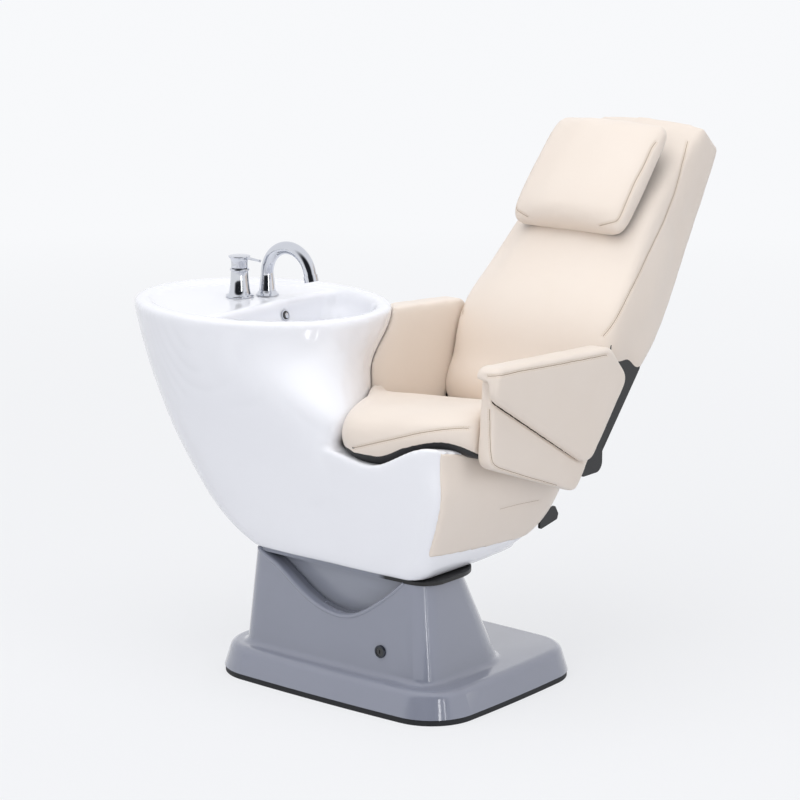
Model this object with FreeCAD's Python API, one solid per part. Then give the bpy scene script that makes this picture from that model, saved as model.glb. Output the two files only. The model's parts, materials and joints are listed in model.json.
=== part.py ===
import FreeCAD, Part
import math
import os

# Hair washing unit: a basin and a reclining seat on one white body, carried by a lifting column.
# Millimetres. Origin on the floor under the middle of the foot, the seat faces -Y, the basin is on -X.

# Foot, column and lift
foot_length = 675.0
foot_width = 540.0
foot_corner = 112.0
foot_bow = 9.0
foot_height = 69.0
foot_edge_radius = 20.0
foot_draft = 17.0
foot_room_height = 45.0
strip_height = 13.0
strip_inset = 2.0
strip_width = 24.0
cover_wall = 4.0
column_front_low = 217.0
column_front_high = 205.0
column_rear_low = 88.0
column_rear_high = -26.0
column_left_low = 276.0
column_left_high = 254.0
column_right_low = 266.0
column_right_high = 240.0
column_front_corner = 46.0
column_rear_corner_low = 96.0
column_rear_corner_high = 66.0
column_bow = 5.0
column_top = 283.4
plate_gap = 0.6
column_fillet = 15.0
scoop_depth = 104.0
inner_cover_left = 222.0
inner_cover_right = 222.0
inner_cover_front = 165.0
inner_cover_rear = -38.0
inner_cover_bow = 3.0
inner_cover_corner = 26.0
inner_cover_wall = 3.0
inner_cover_bottom = 100.0
lift_y = -98.0
base_plate_thickness = 10.0
foot_room_inset = 14.0
bolt_diameter = 12.0
bolt_head_diameter = 22.0
bolt_head_height = 8.0
bolt_spacing_x = 500.0
bolt_spacing_y = 380.0
sleeve_size = 60.0
sleeve_wall = 4.0
sleeve_top = 258.0
sleeve_spacing = 300.0
guide_clearance = 0.05
guide_wall = 4.0
guide_bottom = 34.0
actuator_diameter = 56.0
actuator_wall = 5.0
actuator_top = 232.0
actuator_rod_diameter = 30.0
actuator_rod_bottom = 62.0
fit_clearance = 0.05

# Lock in the front of the column cover
lock_x = 131.0
lock_z = 125.0
lock_bezel_diameter = 28.0
lock_bezel_height = 3.0
lock_barrel_diameter = 20.0
lock_barrel_length = 34.0
lock_barrel_recess = 1.0
lock_keyway_width = 2.4
lock_keyway_height = 8.0
lock_keyway_depth = 6.0
lock_cam_length = 34.0
lock_cam_width = 14.0
lock_cam_thickness = 3.0

# Mounting plate and white body
plate_thickness = 8.0
plate_front = 203.0
plate_rear = 8.0
plate_left = 246.0
plate_right = 254.0
plate_front_corner = 50.0
plate_rear_corner = 96.0
plate_bow = 4.0
rim_height = 796.0
rim_length = 632.0
rim_width = 516.0
rim_slab = 26.0
rim_gap = 0.3
body_wall = 6.0
body_floor = 8.0
body_front = 222.0
hull_left = -92.0
hull_right = 293.0
hull_rear = 316.0
hull_top = 600.0
hull_front_corner = 42.0
hull_rear_corner = 92.0
hull_bow = 4.0
skirt_thickness = 7.0
layer_gap = 0.3

# Basin
lip_width = 40.0
lip_height = 9.0
lip_radius = 11.0
deck_edge_x = -368.0
bowl_depth = 182.0
bowl_wall = 8.0
bowl_floor_length = 150.0
bowl_floor_width = 220.0
bowl_floor_x = -238.0
drain_bore = 46.0
drain_flange_diameter = 66.0
drain_flange_thickness = 3.0
drain_tail_length = 52.0
strainer_thickness = 2.0
strainer_hole = 6.0
strainer_holes = 8
overflow_y = 50.0
overflow_drop = 34.0
overflow_bore = 16.0
overflow_ring_diameter = 25.0
overflow_ring_thickness = 3.0
trap_diameter = 64.0
trap_length = 92.0
waste_pipe_diameter = 40.0
waste_pipe_wall = 3.0
waste_pipe_x = -75.0
waste_pipe_end = 250.0
waste_height = 480.0

# Tap
spout_x = -440.0
spout_y = 78.0
spout_rise = 130.0
spout_radius = 65.0
spout_turn = 165.0
spout_drop = 8.0
spout_base_diameter = 52.0
spout_foot_diameter = 38.0
spout_tube_diameter = 29.0
spout_collar_height = 12.0
spout_wall = 3.0
spout_bore = 12.0
spigot_diameter = 18.0
aerator_diameter = 33.0
aerator_length = 15.0
aerator_bore = 22.0
tap_tail_diameter = 32.0
tap_tail_length = 64.0
tap_nut_diameter = 50.0
tap_nut_height = 12.0
handle_x = -474.0
handle_y = 22.0
handle_flange_diameter = 62.0
handle_flange_height = 6.0
handle_body_low = 46.0
handle_body_high = 27.0
handle_waist = 62.0
stem_diameter = 14.0
stem_length = 14.0
handle_cap_diameter = 37.0
handle_cap_height = 26.0
lever_length = 62.0
lever_angle = 12.0
lever_diameter = 7.0
lever_tip_diameter = 10.0
lever_height_share = 0.7
knob_round_share = 0.4

# Seat and arms
seat_centre_x = 100.0
seat_inner_width = 432.0
seat_rear = 305.0
seat_front = 214.0
seat_front_height = 640.0
seat_lift = 12.0
seat_rear_height = 552.0
seat_rear_bottom = 484.0
seat_under_rear = 236.0
seat_nose_radius = 34.0
seat_hinge_room = 44.0
soft_gap = 2.0
seat_end_trim = 0.4
arm_panel_thickness = 36.0
arm_pad_thickness = 20.0
arm_start = -150.0
arm_length = 502.0
arm_bottom = 430.0
arm_height = 334.0
arm_edge_radius = 7.0
arm_bracket_length = 60.0
arm_bracket_height = 26.0
arm_bracket_y = 120.0
arm_bracket_z = 472.0
left_bracket_y = 148.0
left_bracket_length = 56.0
left_bracket_z = 458.0

# Back, in a frame that starts at the hinge and leans back
hinge_y = 285.0
hinge_z = 490.0
back_angle = 41.0
back_length = 847.0
back_width = 427.0
back_rear_face = 45.0
back_front_face = 105.0
back_crown = 24.0
back_rear_bulge = 34.0
frame_plate_thickness = 5.0
frame_outer = 212.0
frame_height = 240.0
rear_plate_start = 30.0
board_thickness = 14.0
board_width = 240.0
board_bottom = 120.0
board_top = 770.0
hinge_pin_diameter = 18.0
hinge_pin_head = 30.0
hinge_plate_thickness = 4.0
hinge_plate_width = 90.0

# Headrest
headrest_width = 300.0
headrest_length = 285.0
headrest_start = 480.0
headrest_rear_face = 126.0
headrest_thickness = 46.0
headrest_crown = 12.0
headrest_travel = 50.0
post_width = 34.0
post_thickness = 10.0
slot_gap = 1.5
headrest_plate_size = 120.0
headrest_plate_thickness = 4.0

# Release lever under the rear of the body
release_x = 237.0
release_y = 206.0
release_z = 318.0
release_length = 68.0
release_height = 48.0
release_thickness = 6.0

# Shares that shape the outlines
overrun = 5.0
long_overrun = 60.0
# height, centre, left, right and depth of the basin body, then its corner powers and skew
tub_section_shares = [
    (0.000, -0.206, 0.218, 0.560, 0.412, 4.5, 6.0, 5.0, 0.00),
    (0.026, -0.212, 0.262, 0.570, 0.418, 4.5, 6.0, 5.0, 0.00),
    (0.135, -0.340, 0.310, 0.664, 0.424, 3.2, 6.0, 5.0, 0.00),
    (0.294, -0.475, 0.328, 0.649, 0.430, 2.4, 6.0, 4.0, 0.20),
    (0.522, -0.593, 0.351, 0.419, 0.446, 2.1, 8.0, 2.1, 0.52),
    (0.611, -0.609, 0.377, 0.481, 0.457, 2.05, 5.0, 2.0, 0.45),
    (0.730, -0.614, 0.426, 0.475, 0.473, 2.0, 3.4, 2.0, 0.32),
    (0.849, -0.614, 0.462, 0.481, 0.488, 2.0, 2.4, 2.0, 0.12),
    (0.929, -0.614, 0.483, 0.497, 0.496, 2.0, 2.1, 2.0, 0.03),
    (1.000, -0.614, 0.495, 0.505, 0.500, 2.0, 2.0, 2.0, 0.00),
]
tub_points = 32
# lower edge of the skirt panel: place along the seat, height on the hull
skirt_edge_shares = [
    (-0.625, 0.195),
    (-0.300, 0.155),
    (0.120, 0.118),
    (0.600, 0.096),
    (0.760, 0.130),
    (0.870, 0.290),
    (1.200, 0.900),
]
# height, right side, front and rear of the seat hull
hull_section_shares = [
    (0.000, 0.778, 0.966, 0.335),
    (0.045, 0.820, 0.975, 0.475),
    (0.123, 0.860, 0.984, 0.745),
    (0.286, 0.915, 0.990, 0.902),
    (0.610, 0.993, 1.000, 0.987),
    (1.000, 1.000, 1.000, 1.000),
]
# place across the seat, height above the hull floor, for the front edge of the hull
saddle_shares = [
    (-0.62, 0.840),
    (-0.30, 0.840),
    (-0.148, 0.812),
    (0.012, 0.782),
    (0.204, 0.893),
    (0.389, 0.978),
    (0.470, 0.950),
    (0.620, 0.900),
]
saddle_rear_share = 0.575
# depth below the deck, size of the bowl outline, turn from the D outline to the floor oval
bowl_section_shares = [
    (-0.080, 1.060, 0.00),
    (-0.030, 1.022, 0.00),
    (0.010, 1.000, 0.00),
    (0.050, 0.988, 0.00),
    (0.250, 0.940, 0.03),
    (0.500, 0.880, 0.12),
    (0.750, 0.800, 0.33),
    (0.920, 0.720, 0.70),
    (1.000, 0.560, 1.00),
]
bowl_points = 36
corner_power = 9
# scoop of the column: place along the column, share of its depth
scoop_shares = [
    (-0.99, 0.00),
    (-0.90, 0.04),
    (-0.70, 0.23),
    (-0.42, 0.65),
    (-0.16, 0.93),
    (0.08, 1.00),
    (0.33, 0.80),
    (0.56, 0.42),
    (0.75, 0.00),
]
# place across the seat, reach to the front, rise of the top, drawn-in rounding of the end
seat_section_shares = [
    (-1.00, -0.05, -1.0, 22.0),
    (-0.975, 0.12, -1.0, 8.0),
    (-0.91, 0.00, -1.0, 0.0),
    (-0.76, -0.26, -1.0, 0.0),
    (-0.52, -0.76, -1.0, 0.0),
    (-0.33, -0.98, -0.9, 0.0),
    (-0.05, -1.00, -0.5, 0.0),
    (0.30, -0.96, 0.0, 0.0),
    (0.60, -0.87, 0.4, 0.0),
    (0.84, -0.74, 0.7, 0.0),
    (0.96, -0.64, 0.8, 4.0),
    (1.00, -0.52, 0.8, 20.0),
]
# armrest outlines: place along the arm, height, corner radius
arm_panel_shares = [
    (0.084, 0.982, 0.05),
    (0.048, 0.340, 0.09),
    (0.673, 0.000, 0.05),
    (0.729, 0.096, 0.06),
    (0.992, 0.700, 0.08),
    (0.867, 0.922, 0.10),
]
arm_pad_shares = [
    (0.048, 0.982, 0.06),
    (0.024, 0.795, 0.09),
    (0.713, 0.172, 0.11),
    (1.008, 0.690, 0.09),
    (0.867, 0.922, 0.10),
]
arm_cap_shares = (0.905, 0.845)
far_panel_shares = [
    (0.180, 1.108, 0.05),
    (0.048, 0.340, 0.09),
    (0.673, 0.000, 0.05),
    (0.900, 0.140, 0.08),
    (1.075, 0.700, 0.10),
    (1.120, 1.015, 0.08),
]
far_pad_shares = [
    (0.180, 1.108, 0.05),
    (0.150, 0.795, 0.09),
    (0.713, 0.172, 0.11),
    (1.060, 0.700, 0.09),
    (1.125, 1.015, 0.08),
]
far_cap_shares = (1.030, 0.940)
# place and height of each corner of the release lever, then its radius
release_lever_shares = [
    (0.00, 0.10, 0.10),
    (0.94, 0.33, 0.08),
    (1.00, 0.58, 0.10),
    (0.82, 1.00, 0.10),
    (0.00, 0.80, 0.10),
]
# side plate of the back frame: forward reach, height, corner radius
side_plate_shares = [
    (0.32, -0.075, 0.04),
    (0.08, 0.18, 0.10),
    (1.10, 0.62, 0.12),
    (1.75, 0.85, 0.05),
    (2.00, 0.97, 0.01),
    (1.10, 0.90, 0.10),
    (0.30, 1.02, 0.10),
    (-1.00, 1.06, 0.02),
    (-0.84, 0.02, 0.09),
    (-0.50, -0.075, 0.05),
]
headrest_section_shares = [
    (0.000, 0.880, 0.40),
    (0.022, 0.945, 0.72),
    (0.075, 0.985, 0.96),
    (0.160, 1.000, 1.08),
    (0.330, 1.005, 1.12),
    (0.500, 1.005, 1.08),
    (0.670, 1.000, 1.00),
    (0.840, 1.000, 0.88),
    (0.925, 0.985, 0.74),
    (0.978, 0.945, 0.54),
    (1.000, 0.880, 0.30),
]
# place along the back, front face, half width
back_section_shares = [
    (0.078, 0.10, 0.972, 0.00),
    (0.169, 0.55, 0.994, 0.00),
    (0.236, 0.80, 0.994, 0.00),
    (0.327, 1.00, 0.992, 0.36),
    (0.420, 0.97, 0.957, 0.74),
    (0.541, 0.94, 0.888, 1.00),
    (0.671, 0.88, 0.820, 1.00),
    (0.797, 0.72, 0.768, 0.90),
    (0.925, 0.46, 0.728, 0.68),
    (1.000, 0.30, 0.712, 0.38),
]


def vec(x, y, z):
    return FreeCAD.Vector(x, y, z)


def box(x0, x1, y0, y1, z0, z1):
    return Part.makeBox(x1 - x0, y1 - y0, z1 - z0, vec(x0, y0, z0))


def cylinder(diameter, start, direction, length):
    return Part.makeCylinder(diameter / 2, length, start, direction)


def between(low, high, share):
    return low + (high - low) * share


def loft(wires, ruled=False):
    return Part.makeLoft(wires, True, ruled)


def spline_edge(points):
    curve = Part.BSplineCurve()
    curve.interpolate(points)
    return curve.toShape()


def spline_loft(sections):
    """Smooth solid through closed curves that share one timing, so that its faces stay light."""
    count = len(sections[0])
    times = [0]
    for index in range(count):
        spans = [points[index].distanceToPoint(points[(index + 1) % count]) for points in sections]
        times.append(times[-1] + sum(spans) / len(spans))
    wires = []
    for points in sections:
        curve = Part.BSplineCurve()
        curve.interpolate(Points=points, PeriodicFlag=True, Parameters=times)
        wires.append(Part.Wire([curve.toShape()]))
    return Part.makeLoft(wires, True, False)


def polygon_face(points):
    return Part.Face(Part.makePolygon(points + [points[0]]))


def corner_circle(first, first_radius, second, second_radius, radius, corner):
    """Centre of the corner circle that touches two large side circles from inside."""
    reach_one = first_radius - radius
    reach_two = second_radius - radius
    gap = second.sub(first)
    length = gap.Length
    along = (reach_one ** 2 - reach_two ** 2 + length ** 2) / (2 * length)
    rise = math.sqrt(max(reach_one ** 2 - along ** 2, 0))
    unit = gap.multiply(1 / length)
    foot = first.add(FreeCAD.Vector(unit).multiply(along))
    side = vec(-unit.y, unit.x, 0).multiply(rise)
    candidates = [foot.add(side), foot.sub(side)]
    return min(candidates, key=lambda point: point.distanceToPoint(corner))


def bowed_outline(z, x0, x1, y0, y1, front_corner, rear_corner, bow):
    """Closed outline of four bowed sides and four round corners, as eight arcs."""
    middle_x = (x0 + x1) / 2
    middle_y = (y0 + y1) / 2
    half_x = (x1 - x0) / 2
    half_y = (y1 - y0) / 2
    side_radius = (half_y ** 2 + bow ** 2) / (2 * bow)
    end_radius = (half_x ** 2 + bow ** 2) / (2 * bow)
    right = (vec(x1 - side_radius, middle_y, z), side_radius, vec(x1, middle_y, z))
    rear = (vec(middle_x, y1 - end_radius, z), end_radius, vec(middle_x, y1, z))
    left = (vec(x0 + side_radius, middle_y, z), side_radius, vec(x0, middle_y, z))
    front = (vec(middle_x, y0 + end_radius, z), end_radius, vec(middle_x, y0, z))
    turns = [
        (right, rear, vec(x1, y1, z), rear_corner),
        (rear, left, vec(x0, y1, z), rear_corner),
        (left, front, vec(x0, y0, z), front_corner),
        (front, right, vec(x1, y0, z), front_corner),
    ]
    corners = []
    for first, second, corner, radius in turns:
        centre = corner_circle(first[0], first[1], second[0], second[1], radius, corner)
        start = first[0].add(centre.sub(first[0]).normalize().multiply(first[1]))
        end = second[0].add(centre.sub(second[0]).normalize().multiply(second[1]))
        outward = start.sub(centre).add(end.sub(centre)).normalize().multiply(radius)
        corners.append((start, centre.add(outward), end))
    edges = []
    for index, side in enumerate([rear, left, front, right]):
        start, middle, end = corners[index]
        edges.append(Part.Arc(start, middle, end).toShape())
        following = corners[(index + 1) % len(corners)][0]
        edges.append(Part.Arc(end, side[2], following).toShape())
    return Part.Wire(edges)


def foot_outline(z, inset):
    return bowed_outline(
        z, inset - foot_length / 2, foot_length / 2 - inset,
        inset - foot_width / 2, foot_width / 2 - inset,
        foot_corner - inset, foot_corner - inset, foot_bow)


def column_outline(z, inset):
    share = (z - foot_height) / (column_top - foot_height)
    return bowed_outline(
        z,
        inset - between(column_left_low, column_left_high, share),
        between(column_right_low, column_right_high, share) - inset,
        inset - between(column_front_low, column_front_high, share),
        between(column_rear_low, column_rear_high, share) - inset,
        column_front_corner - inset,
        between(column_rear_corner_low, column_rear_corner_high, share) - inset, column_bow)


def floor_strip():
    outer = loft([foot_outline(0, strip_inset), foot_outline(strip_height, strip_inset)], True)
    inner = loft([foot_outline(-overrun, strip_inset + strip_width),
                  foot_outline(strip_height + overrun, strip_inset + strip_width)], True)
    return outer.cut(inner)


def base_plate():
    top = base_plate_thickness
    inset = strip_inset + strip_width + layer_gap
    plate = Part.Face(foot_outline(0, inset)).extrude(vec(0, 0, top))
    for x, y in bolt_places():
        hole = cylinder(bolt_diameter + 2 * fit_clearance, vec(x, y, 0), vec(0, 0, 1),
                        top + overrun)
        plate = plate.cut(hole)
    return plate


def bolt_places():
    x = bolt_spacing_x / 2
    y = bolt_spacing_y / 2
    return [(-x, -y), (x, -y), (-x, y), (x, y)]


def floor_bolts():
    bolts = []
    for x, y in bolt_places():
        top = base_plate_thickness
        shank = cylinder(bolt_diameter, vec(x, y, 0), vec(0, 0, 1), top)
        head = cylinder(bolt_head_diameter, vec(x, y, top), vec(0, 0, 1), bolt_head_height)
        bolts.append(shank.fuse(head).removeSplitter())
    return Part.makeCompound(bolts)


def scoop_curve(y, spread):
    """The scooped edge of the column front as a spline in the plane at y."""
    half = (column_left_high + column_right_high) / 2
    points = []
    for along, depth in scoop_shares:
        points.append(vec(along * half, y, column_top - depth * scoop_depth + spread))
    return points


def scoop_block():
    front = -column_front_low - overrun
    depth = (column_front_low - column_front_high) + column_front_corner + 2 * overrun
    points = scoop_curve(front, 0)
    roof = column_top + overrun
    edges = [
        spline_edge(points),
        Part.makeLine(points[-1], vec(points[-1].x, front, roof)),
        Part.makeLine(vec(points[-1].x, front, roof), vec(points[0].x, front, roof)),
        Part.makeLine(vec(points[0].x, front, roof), points[0]),
    ]
    return Part.Face(Part.Wire(edges)).extrude(vec(0, depth, 0))


def foot_block():
    block = loft([foot_outline(strip_height, 0), foot_outline(foot_height, foot_draft)], True)
    top_edges = [edge for edge in block.Edges
                 if min(vertex.Z for vertex in edge.Vertexes) > foot_height - fit_clearance]
    return block.makeFillet(foot_edge_radius, top_edges)


def foot_room():
    """The hollow of the foot: wide below, then stepped in under the rounded edge."""
    wide = Part.Face(foot_outline(0, foot_room_inset)).extrude(vec(0, 0, foot_room_height))
    inset = foot_draft + foot_edge_radius
    narrow = Part.Face(foot_outline(0, inset)).extrude(vec(0, 0, foot_height - cover_wall))
    return wide.fuse(narrow)


def column_cover():
    foot = foot_block()
    low = foot_height - foot_edge_radius
    column = loft([column_outline(low, 0), column_outline(column_top, 0)], True)
    cover = foot.fuse(column).removeSplitter()
    seam = [edge for edge in cover.Edges
            if abs(edge.BoundBox.ZMin - foot_height) < fit_clearance
            and abs(edge.BoundBox.ZMax - foot_height) < fit_clearance
            and edge.BoundBox.YMax < column_rear_low + overrun
            and edge.BoundBox.XMax < column_right_low + overrun
            and edge.BoundBox.XMin > -column_left_low - overrun
            and edge.BoundBox.YMin > -column_front_low - overrun]
    cover = cover.makeFillet(column_fillet, seam)
    column_inner = loft([column_outline(low, cover_wall),
                         column_outline(column_top + overrun, cover_wall)], True)
    cover = cover.cut(column_inner)
    cover = cover.cut(foot_room())
    cover = cover.cut(scoop_block())
    hole = cylinder(lock_barrel_diameter + 2 * fit_clearance,
                    vec(lock_x, -column_front_low - overrun, lock_z), vec(0, 1, 0),
                    column_front_corner)
    return cover.cut(hole)


body_bottom = column_top + plate_gap + plate_thickness
deck_height = rim_height - lip_height
body_top = rim_height - rim_slab


def signed_power(value, power):
    return math.copysign(abs(value) ** power, value)


def tub_outline(shares, inset):
    """One level of the basin body: rounder on the left, with a turning corner to the seat."""
    height, centre, left, right, depth, n_left, n_front, n_rear, skew = shares
    z = between(body_bottom, rim_height, height)
    points = []
    for step in range(tub_points):
        angle = 2 * math.pi * (step + 1 / 2) / tub_points
        along = math.cos(angle)
        across = math.sin(angle)
        power = n_left
        reach = left * rim_length - inset
        if along > 0:
            power = n_front if across < 0 else n_rear
            reach = right * rim_length - inset
        side = signed_power(across, 2 / power)
        x = reach * signed_power(along, 2 / power)
        if along > 0:
            x = x * (1 - skew * side)
        points.append(vec(centre * rim_length + x, side * (depth * rim_width - inset), z))
    return points


def tub_block(inset):
    return spline_loft([tub_outline(shares, inset) for shares in tub_section_shares])


def hull_block(inset):
    wires = []
    for height, right, front, rear in hull_section_shares:
        z = between(body_bottom, hull_top, height)
        wires.append(bowed_outline(
            z, hull_left + inset, right * hull_right - inset,
            inset - front * body_front, rear * hull_rear - inset,
            hull_front_corner - inset, hull_rear_corner - inset, hull_bow))
    return loft(wires)


def seat_space(lift):
    """Everything above the curved saddle of the hull, raised by the lift."""
    wires = []
    for y, rear in [(-body_front - overrun, 0), (hull_rear + long_overrun, 1)]:
        points = []
        for place, height in saddle_shares:
            share = between(height, saddle_rear_share, rear)
            z = between(body_bottom, hull_top, share) + lift
            points.append(vec(seat_centre_x + place * seat_inner_width, y, z))
        roof = hull_top + 2 * overrun
        first = vec(points[0].x, y, roof)
        last = vec(points[-1].x, y, roof)
        wires.append(Part.Wire([
            spline_edge(points), Part.makeLine(points[-1], last),
            Part.makeLine(last, first), Part.makeLine(first, points[0])]))
    return loft(wires, True)


def tub_slab(bottom, top, inset):
    """The level slice of the basin body between two heights."""
    band = box(-rim_length * 2, rim_length * 2, -rim_width, rim_width, bottom, top)
    return tub_block(inset).common(band)


def body_shell():
    outer = hull_block(0).cut(seat_space(0))
    outer = outer.fuse(tub_slab(0, body_top, 0))
    inner = hull_block(body_wall + skirt_thickness).cut(seat_space(-body_wall))
    inner = inner.fuse(tub_block(body_wall))
    above = box(-rim_length * 2, rim_length * 2, -rim_width, rim_width, body_bottom + body_floor,
                rim_height + overrun)
    shell = outer.cut(inner.common(above))
    shell = shell.cut(skirt_block(layer_gap))
    return shell.cut(waste_hole())


def skirt_face():
    """Side view of the skirt panel as a face in the plane X = 0."""
    points = [vec(0, y * hull_rear, between(body_bottom, hull_top, height))
              for y, height in skirt_edge_shares]
    roof = hull_top + overrun
    edges = [spline_edge(points),
             Part.makeLine(points[-1], vec(0, points[-1].y, roof)),
             Part.makeLine(vec(0, points[-1].y, roof), vec(0, points[0].y, roof)),
             Part.makeLine(vec(0, points[0].y, roof), points[0])]
    return Part.Face(Part.Wire(edges))


def skirt_block(gap):
    """The layer of the hull side that the skirt panel fills, with a gap behind it."""
    panel = skirt_face().extrude(vec(hull_right + long_overrun, 0, 0))
    panel.translate(vec(seat_centre_x, 0, 0))
    layer = hull_block(0).cut(hull_block(skirt_thickness + gap))
    layer = layer.cut(seat_space(-overrun))
    return layer.common(panel)


def waste_hole():
    return cylinder(waste_pipe_diameter + 2 * layer_gap, vec(waste_pipe_x, lift_y, 0),
                    vec(0, 0, 1), waste_height - waste_pipe_diameter)


def mounting_plate():
    wires = [bowed_outline(z, -plate_left, plate_right, -plate_front, plate_rear,
                           plate_front_corner, plate_rear_corner, plate_bow)
             for z in (body_bottom - plate_thickness, body_bottom)]
    return loft(wires, True).cut(waste_hole())


def inner_cover_outline(z, inset):
    return bowed_outline(
        z, inset - inner_cover_left, inner_cover_right - inset,
        inset - inner_cover_front, inner_cover_rear - inset,
        inner_cover_corner - inset, inner_cover_corner - inset, inner_cover_bow)


def inner_cover():
    top = body_bottom - plate_thickness
    outer = loft([inner_cover_outline(inner_cover_bottom, 0), inner_cover_outline(top, 0)], True)
    inner = loft([inner_cover_outline(inner_cover_bottom - overrun, inner_cover_wall),
                  inner_cover_outline(top + overrun, inner_cover_wall)], True)
    return outer.cut(inner)


def square_tube(x, size, wall, bottom, top):
    half = size / 2
    hollow = half - wall
    outer = box(x - half, x + half, lift_y - half, lift_y + half, bottom, top)
    return outer.cut(box(x - hollow, x + hollow, lift_y - hollow, lift_y + hollow,
                         bottom - overrun, top + overrun))


def guide_sleeves():
    bottom = base_plate_thickness
    return Part.makeCompound([
        square_tube(side * sleeve_spacing / 2, sleeve_size, sleeve_wall, bottom, sleeve_top)
        for side in (-1, 1)])


def guide_rods():
    size = sleeve_size - 2 * sleeve_wall - 2 * guide_clearance
    return Part.makeCompound([
        square_tube(side * sleeve_spacing / 2, size, guide_wall, guide_bottom,
                    body_bottom - plate_thickness)
        for side in (-1, 1)])


def lift_actuator():
    bottom = base_plate_thickness
    tube = cylinder(actuator_diameter, vec(0, lift_y, bottom), vec(0, 0, 1), actuator_top - bottom)
    room = cylinder(actuator_diameter - 2 * actuator_wall, vec(0, lift_y, bottom + actuator_wall),
                    vec(0, 0, 1), actuator_top - bottom - 3 * actuator_wall)
    gland = cylinder(actuator_rod_diameter + 2 * fit_clearance, vec(0, lift_y, actuator_rod_bottom),
                     vec(0, 0, 1), actuator_top)
    return tube.cut(room).cut(gland)


def lift_rod():
    top = body_bottom - plate_thickness
    return cylinder(actuator_rod_diameter, vec(0, lift_y, actuator_rod_bottom), vec(0, 0, 1),
                    top - actuator_rod_bottom)


def lock_face():
    """Where the flat face of the lock stands in front of the column."""
    share = (lock_z - foot_height) / (column_top - foot_height)
    return -between(column_front_low, column_front_high, share) - lock_bezel_height


def lock_bezel():
    front = lock_face()
    ring = cylinder(lock_bezel_diameter, vec(lock_x, front, lock_z), vec(0, 1, 0),
                    4 * lock_bezel_height)
    rim = [edge for edge in ring.Edges if edge.BoundBox.YMax < front + fit_clearance]
    ring = ring.makeFillet(lock_bezel_height / 2, rim)
    bore = cylinder(lock_barrel_diameter + 2 * fit_clearance, vec(lock_x, front - overrun, lock_z),
                    vec(0, 1, 0), column_front_corner)
    column = loft([column_outline(foot_height, 0), column_outline(column_top, 0)], True)
    return ring.cut(bore).cut(column)


def lock_barrel():
    front = lock_face() + lock_barrel_recess
    barrel = cylinder(lock_barrel_diameter, vec(lock_x, front, lock_z), vec(0, 1, 0),
                      lock_barrel_length)
    half = lock_keyway_width / 2
    rise = lock_keyway_height / 2
    return barrel.cut(box(lock_x - half, lock_x + half, front - overrun, front + lock_keyway_depth,
                          lock_z - rise, lock_z + rise))


def lock_cam():
    start = lock_face() + lock_barrel_recess + lock_barrel_length
    half = lock_cam_width / 2
    return box(lock_x - half, lock_x - half + lock_cam_length, start, start + lock_cam_thickness,
               lock_z - half, lock_z + half)


def rim_outline(z, inset):
    return [vec(point.x, point.y, z) for point in tub_outline(tub_section_shares[-1], inset)]


def bowl_outline(shares, inset):
    """One level of the bowl: straight on the deck side, oval on the other, an oval floor."""
    depth, size, turn = shares
    rim = tub_section_shares[-1]
    centre = rim[1] * rim_length
    half_length = rim[3] * rim_length - lip_width
    half_width = rim_width / 2 - lip_width
    offset = bowl_floor_x - centre
    z = deck_height - depth * bowl_depth - inset
    points = []
    for step in range(bowl_points):
        angle = 2 * math.pi * step / bowl_points
        along = math.cos(angle)
        across = math.sin(angle)
        square = (along / half_length) ** 2 + (across / half_width) ** 2
        linear = offset * along / half_length ** 2
        rest = (offset / half_length) ** 2 - 1
        reach = (math.sqrt(linear ** 2 - square * rest) - linear) / square
        if along < 0:
            straight = (deck_edge_x - bowl_floor_x) / along
            reach = (reach ** -corner_power + straight ** -corner_power) ** (-1 / corner_power)
        oval = 1 / math.sqrt((2 * along / bowl_floor_length) ** 2
                             + (2 * across / bowl_floor_width) ** 2)
        radius = size * between(reach, oval, turn) + inset
        points.append(vec(bowl_floor_x + radius * along, radius * across, z))
    return points


def bowl_block(inset):
    return spline_loft([bowl_outline(shares, inset) for shares in bowl_section_shares])


def wall_point(z):
    """Point on the deck side wall of the bowl at a height, in line with the overflow."""
    line = Part.makeLine(vec(bowl_floor_x, overflow_y, z), vec(-rim_length, overflow_y, z))
    inside = line.common(bowl_block(0))
    return vec(inside.BoundBox.XMin, overflow_y, z)


def overflow_place():
    z = deck_height - overflow_drop
    point = wall_point(z)
    up = wall_point(z + overrun).sub(point)
    return point, vec(up.z, 0, -up.x).normalize()


def basin():
    slab = tub_slab(body_top + rim_gap, rim_height, 0)
    edge = [item for item in slab.Edges if item.BoundBox.ZMin > rim_height - fit_clearance]
    slab = slab.makeFillet(lip_radius, edge)
    pocket = spline_loft([rim_outline(body_top - overrun, 2 * bowl_wall),
                          rim_outline(deck_height - bowl_wall, 2 * bowl_wall)])
    recess = spline_loft([rim_outline(deck_height, lip_width),
                          rim_outline(rim_height + overrun, lip_width - lip_height)])
    bowl = slab.cut(pocket)
    outer = bowl_block(bowl_wall).common(
        box(-rim_length * 2, 0, -rim_width, rim_width, 0, deck_height))
    bowl = bowl.fuse(outer).cut(bowl_block(0)).cut(recess)
    drain = cylinder(drain_bore, vec(bowl_floor_x, 0, 0), vec(0, 0, 1), deck_height)
    bowl = bowl.cut(drain)
    point, outward = overflow_place()
    back = FreeCAD.Vector(outward).multiply(-long_overrun)
    hole = cylinder(overflow_bore, point.add(back), outward, 2 * long_overrun)
    bowl = bowl.cut(hole)
    for x, y in [(spout_x, spout_y), (handle_x, handle_y)]:
        bowl = bowl.cut(cylinder(tap_tail_diameter + 2 * fit_clearance, vec(x, y, body_top),
                                 vec(0, 0, 1), rim_height))
    return bowl


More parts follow.
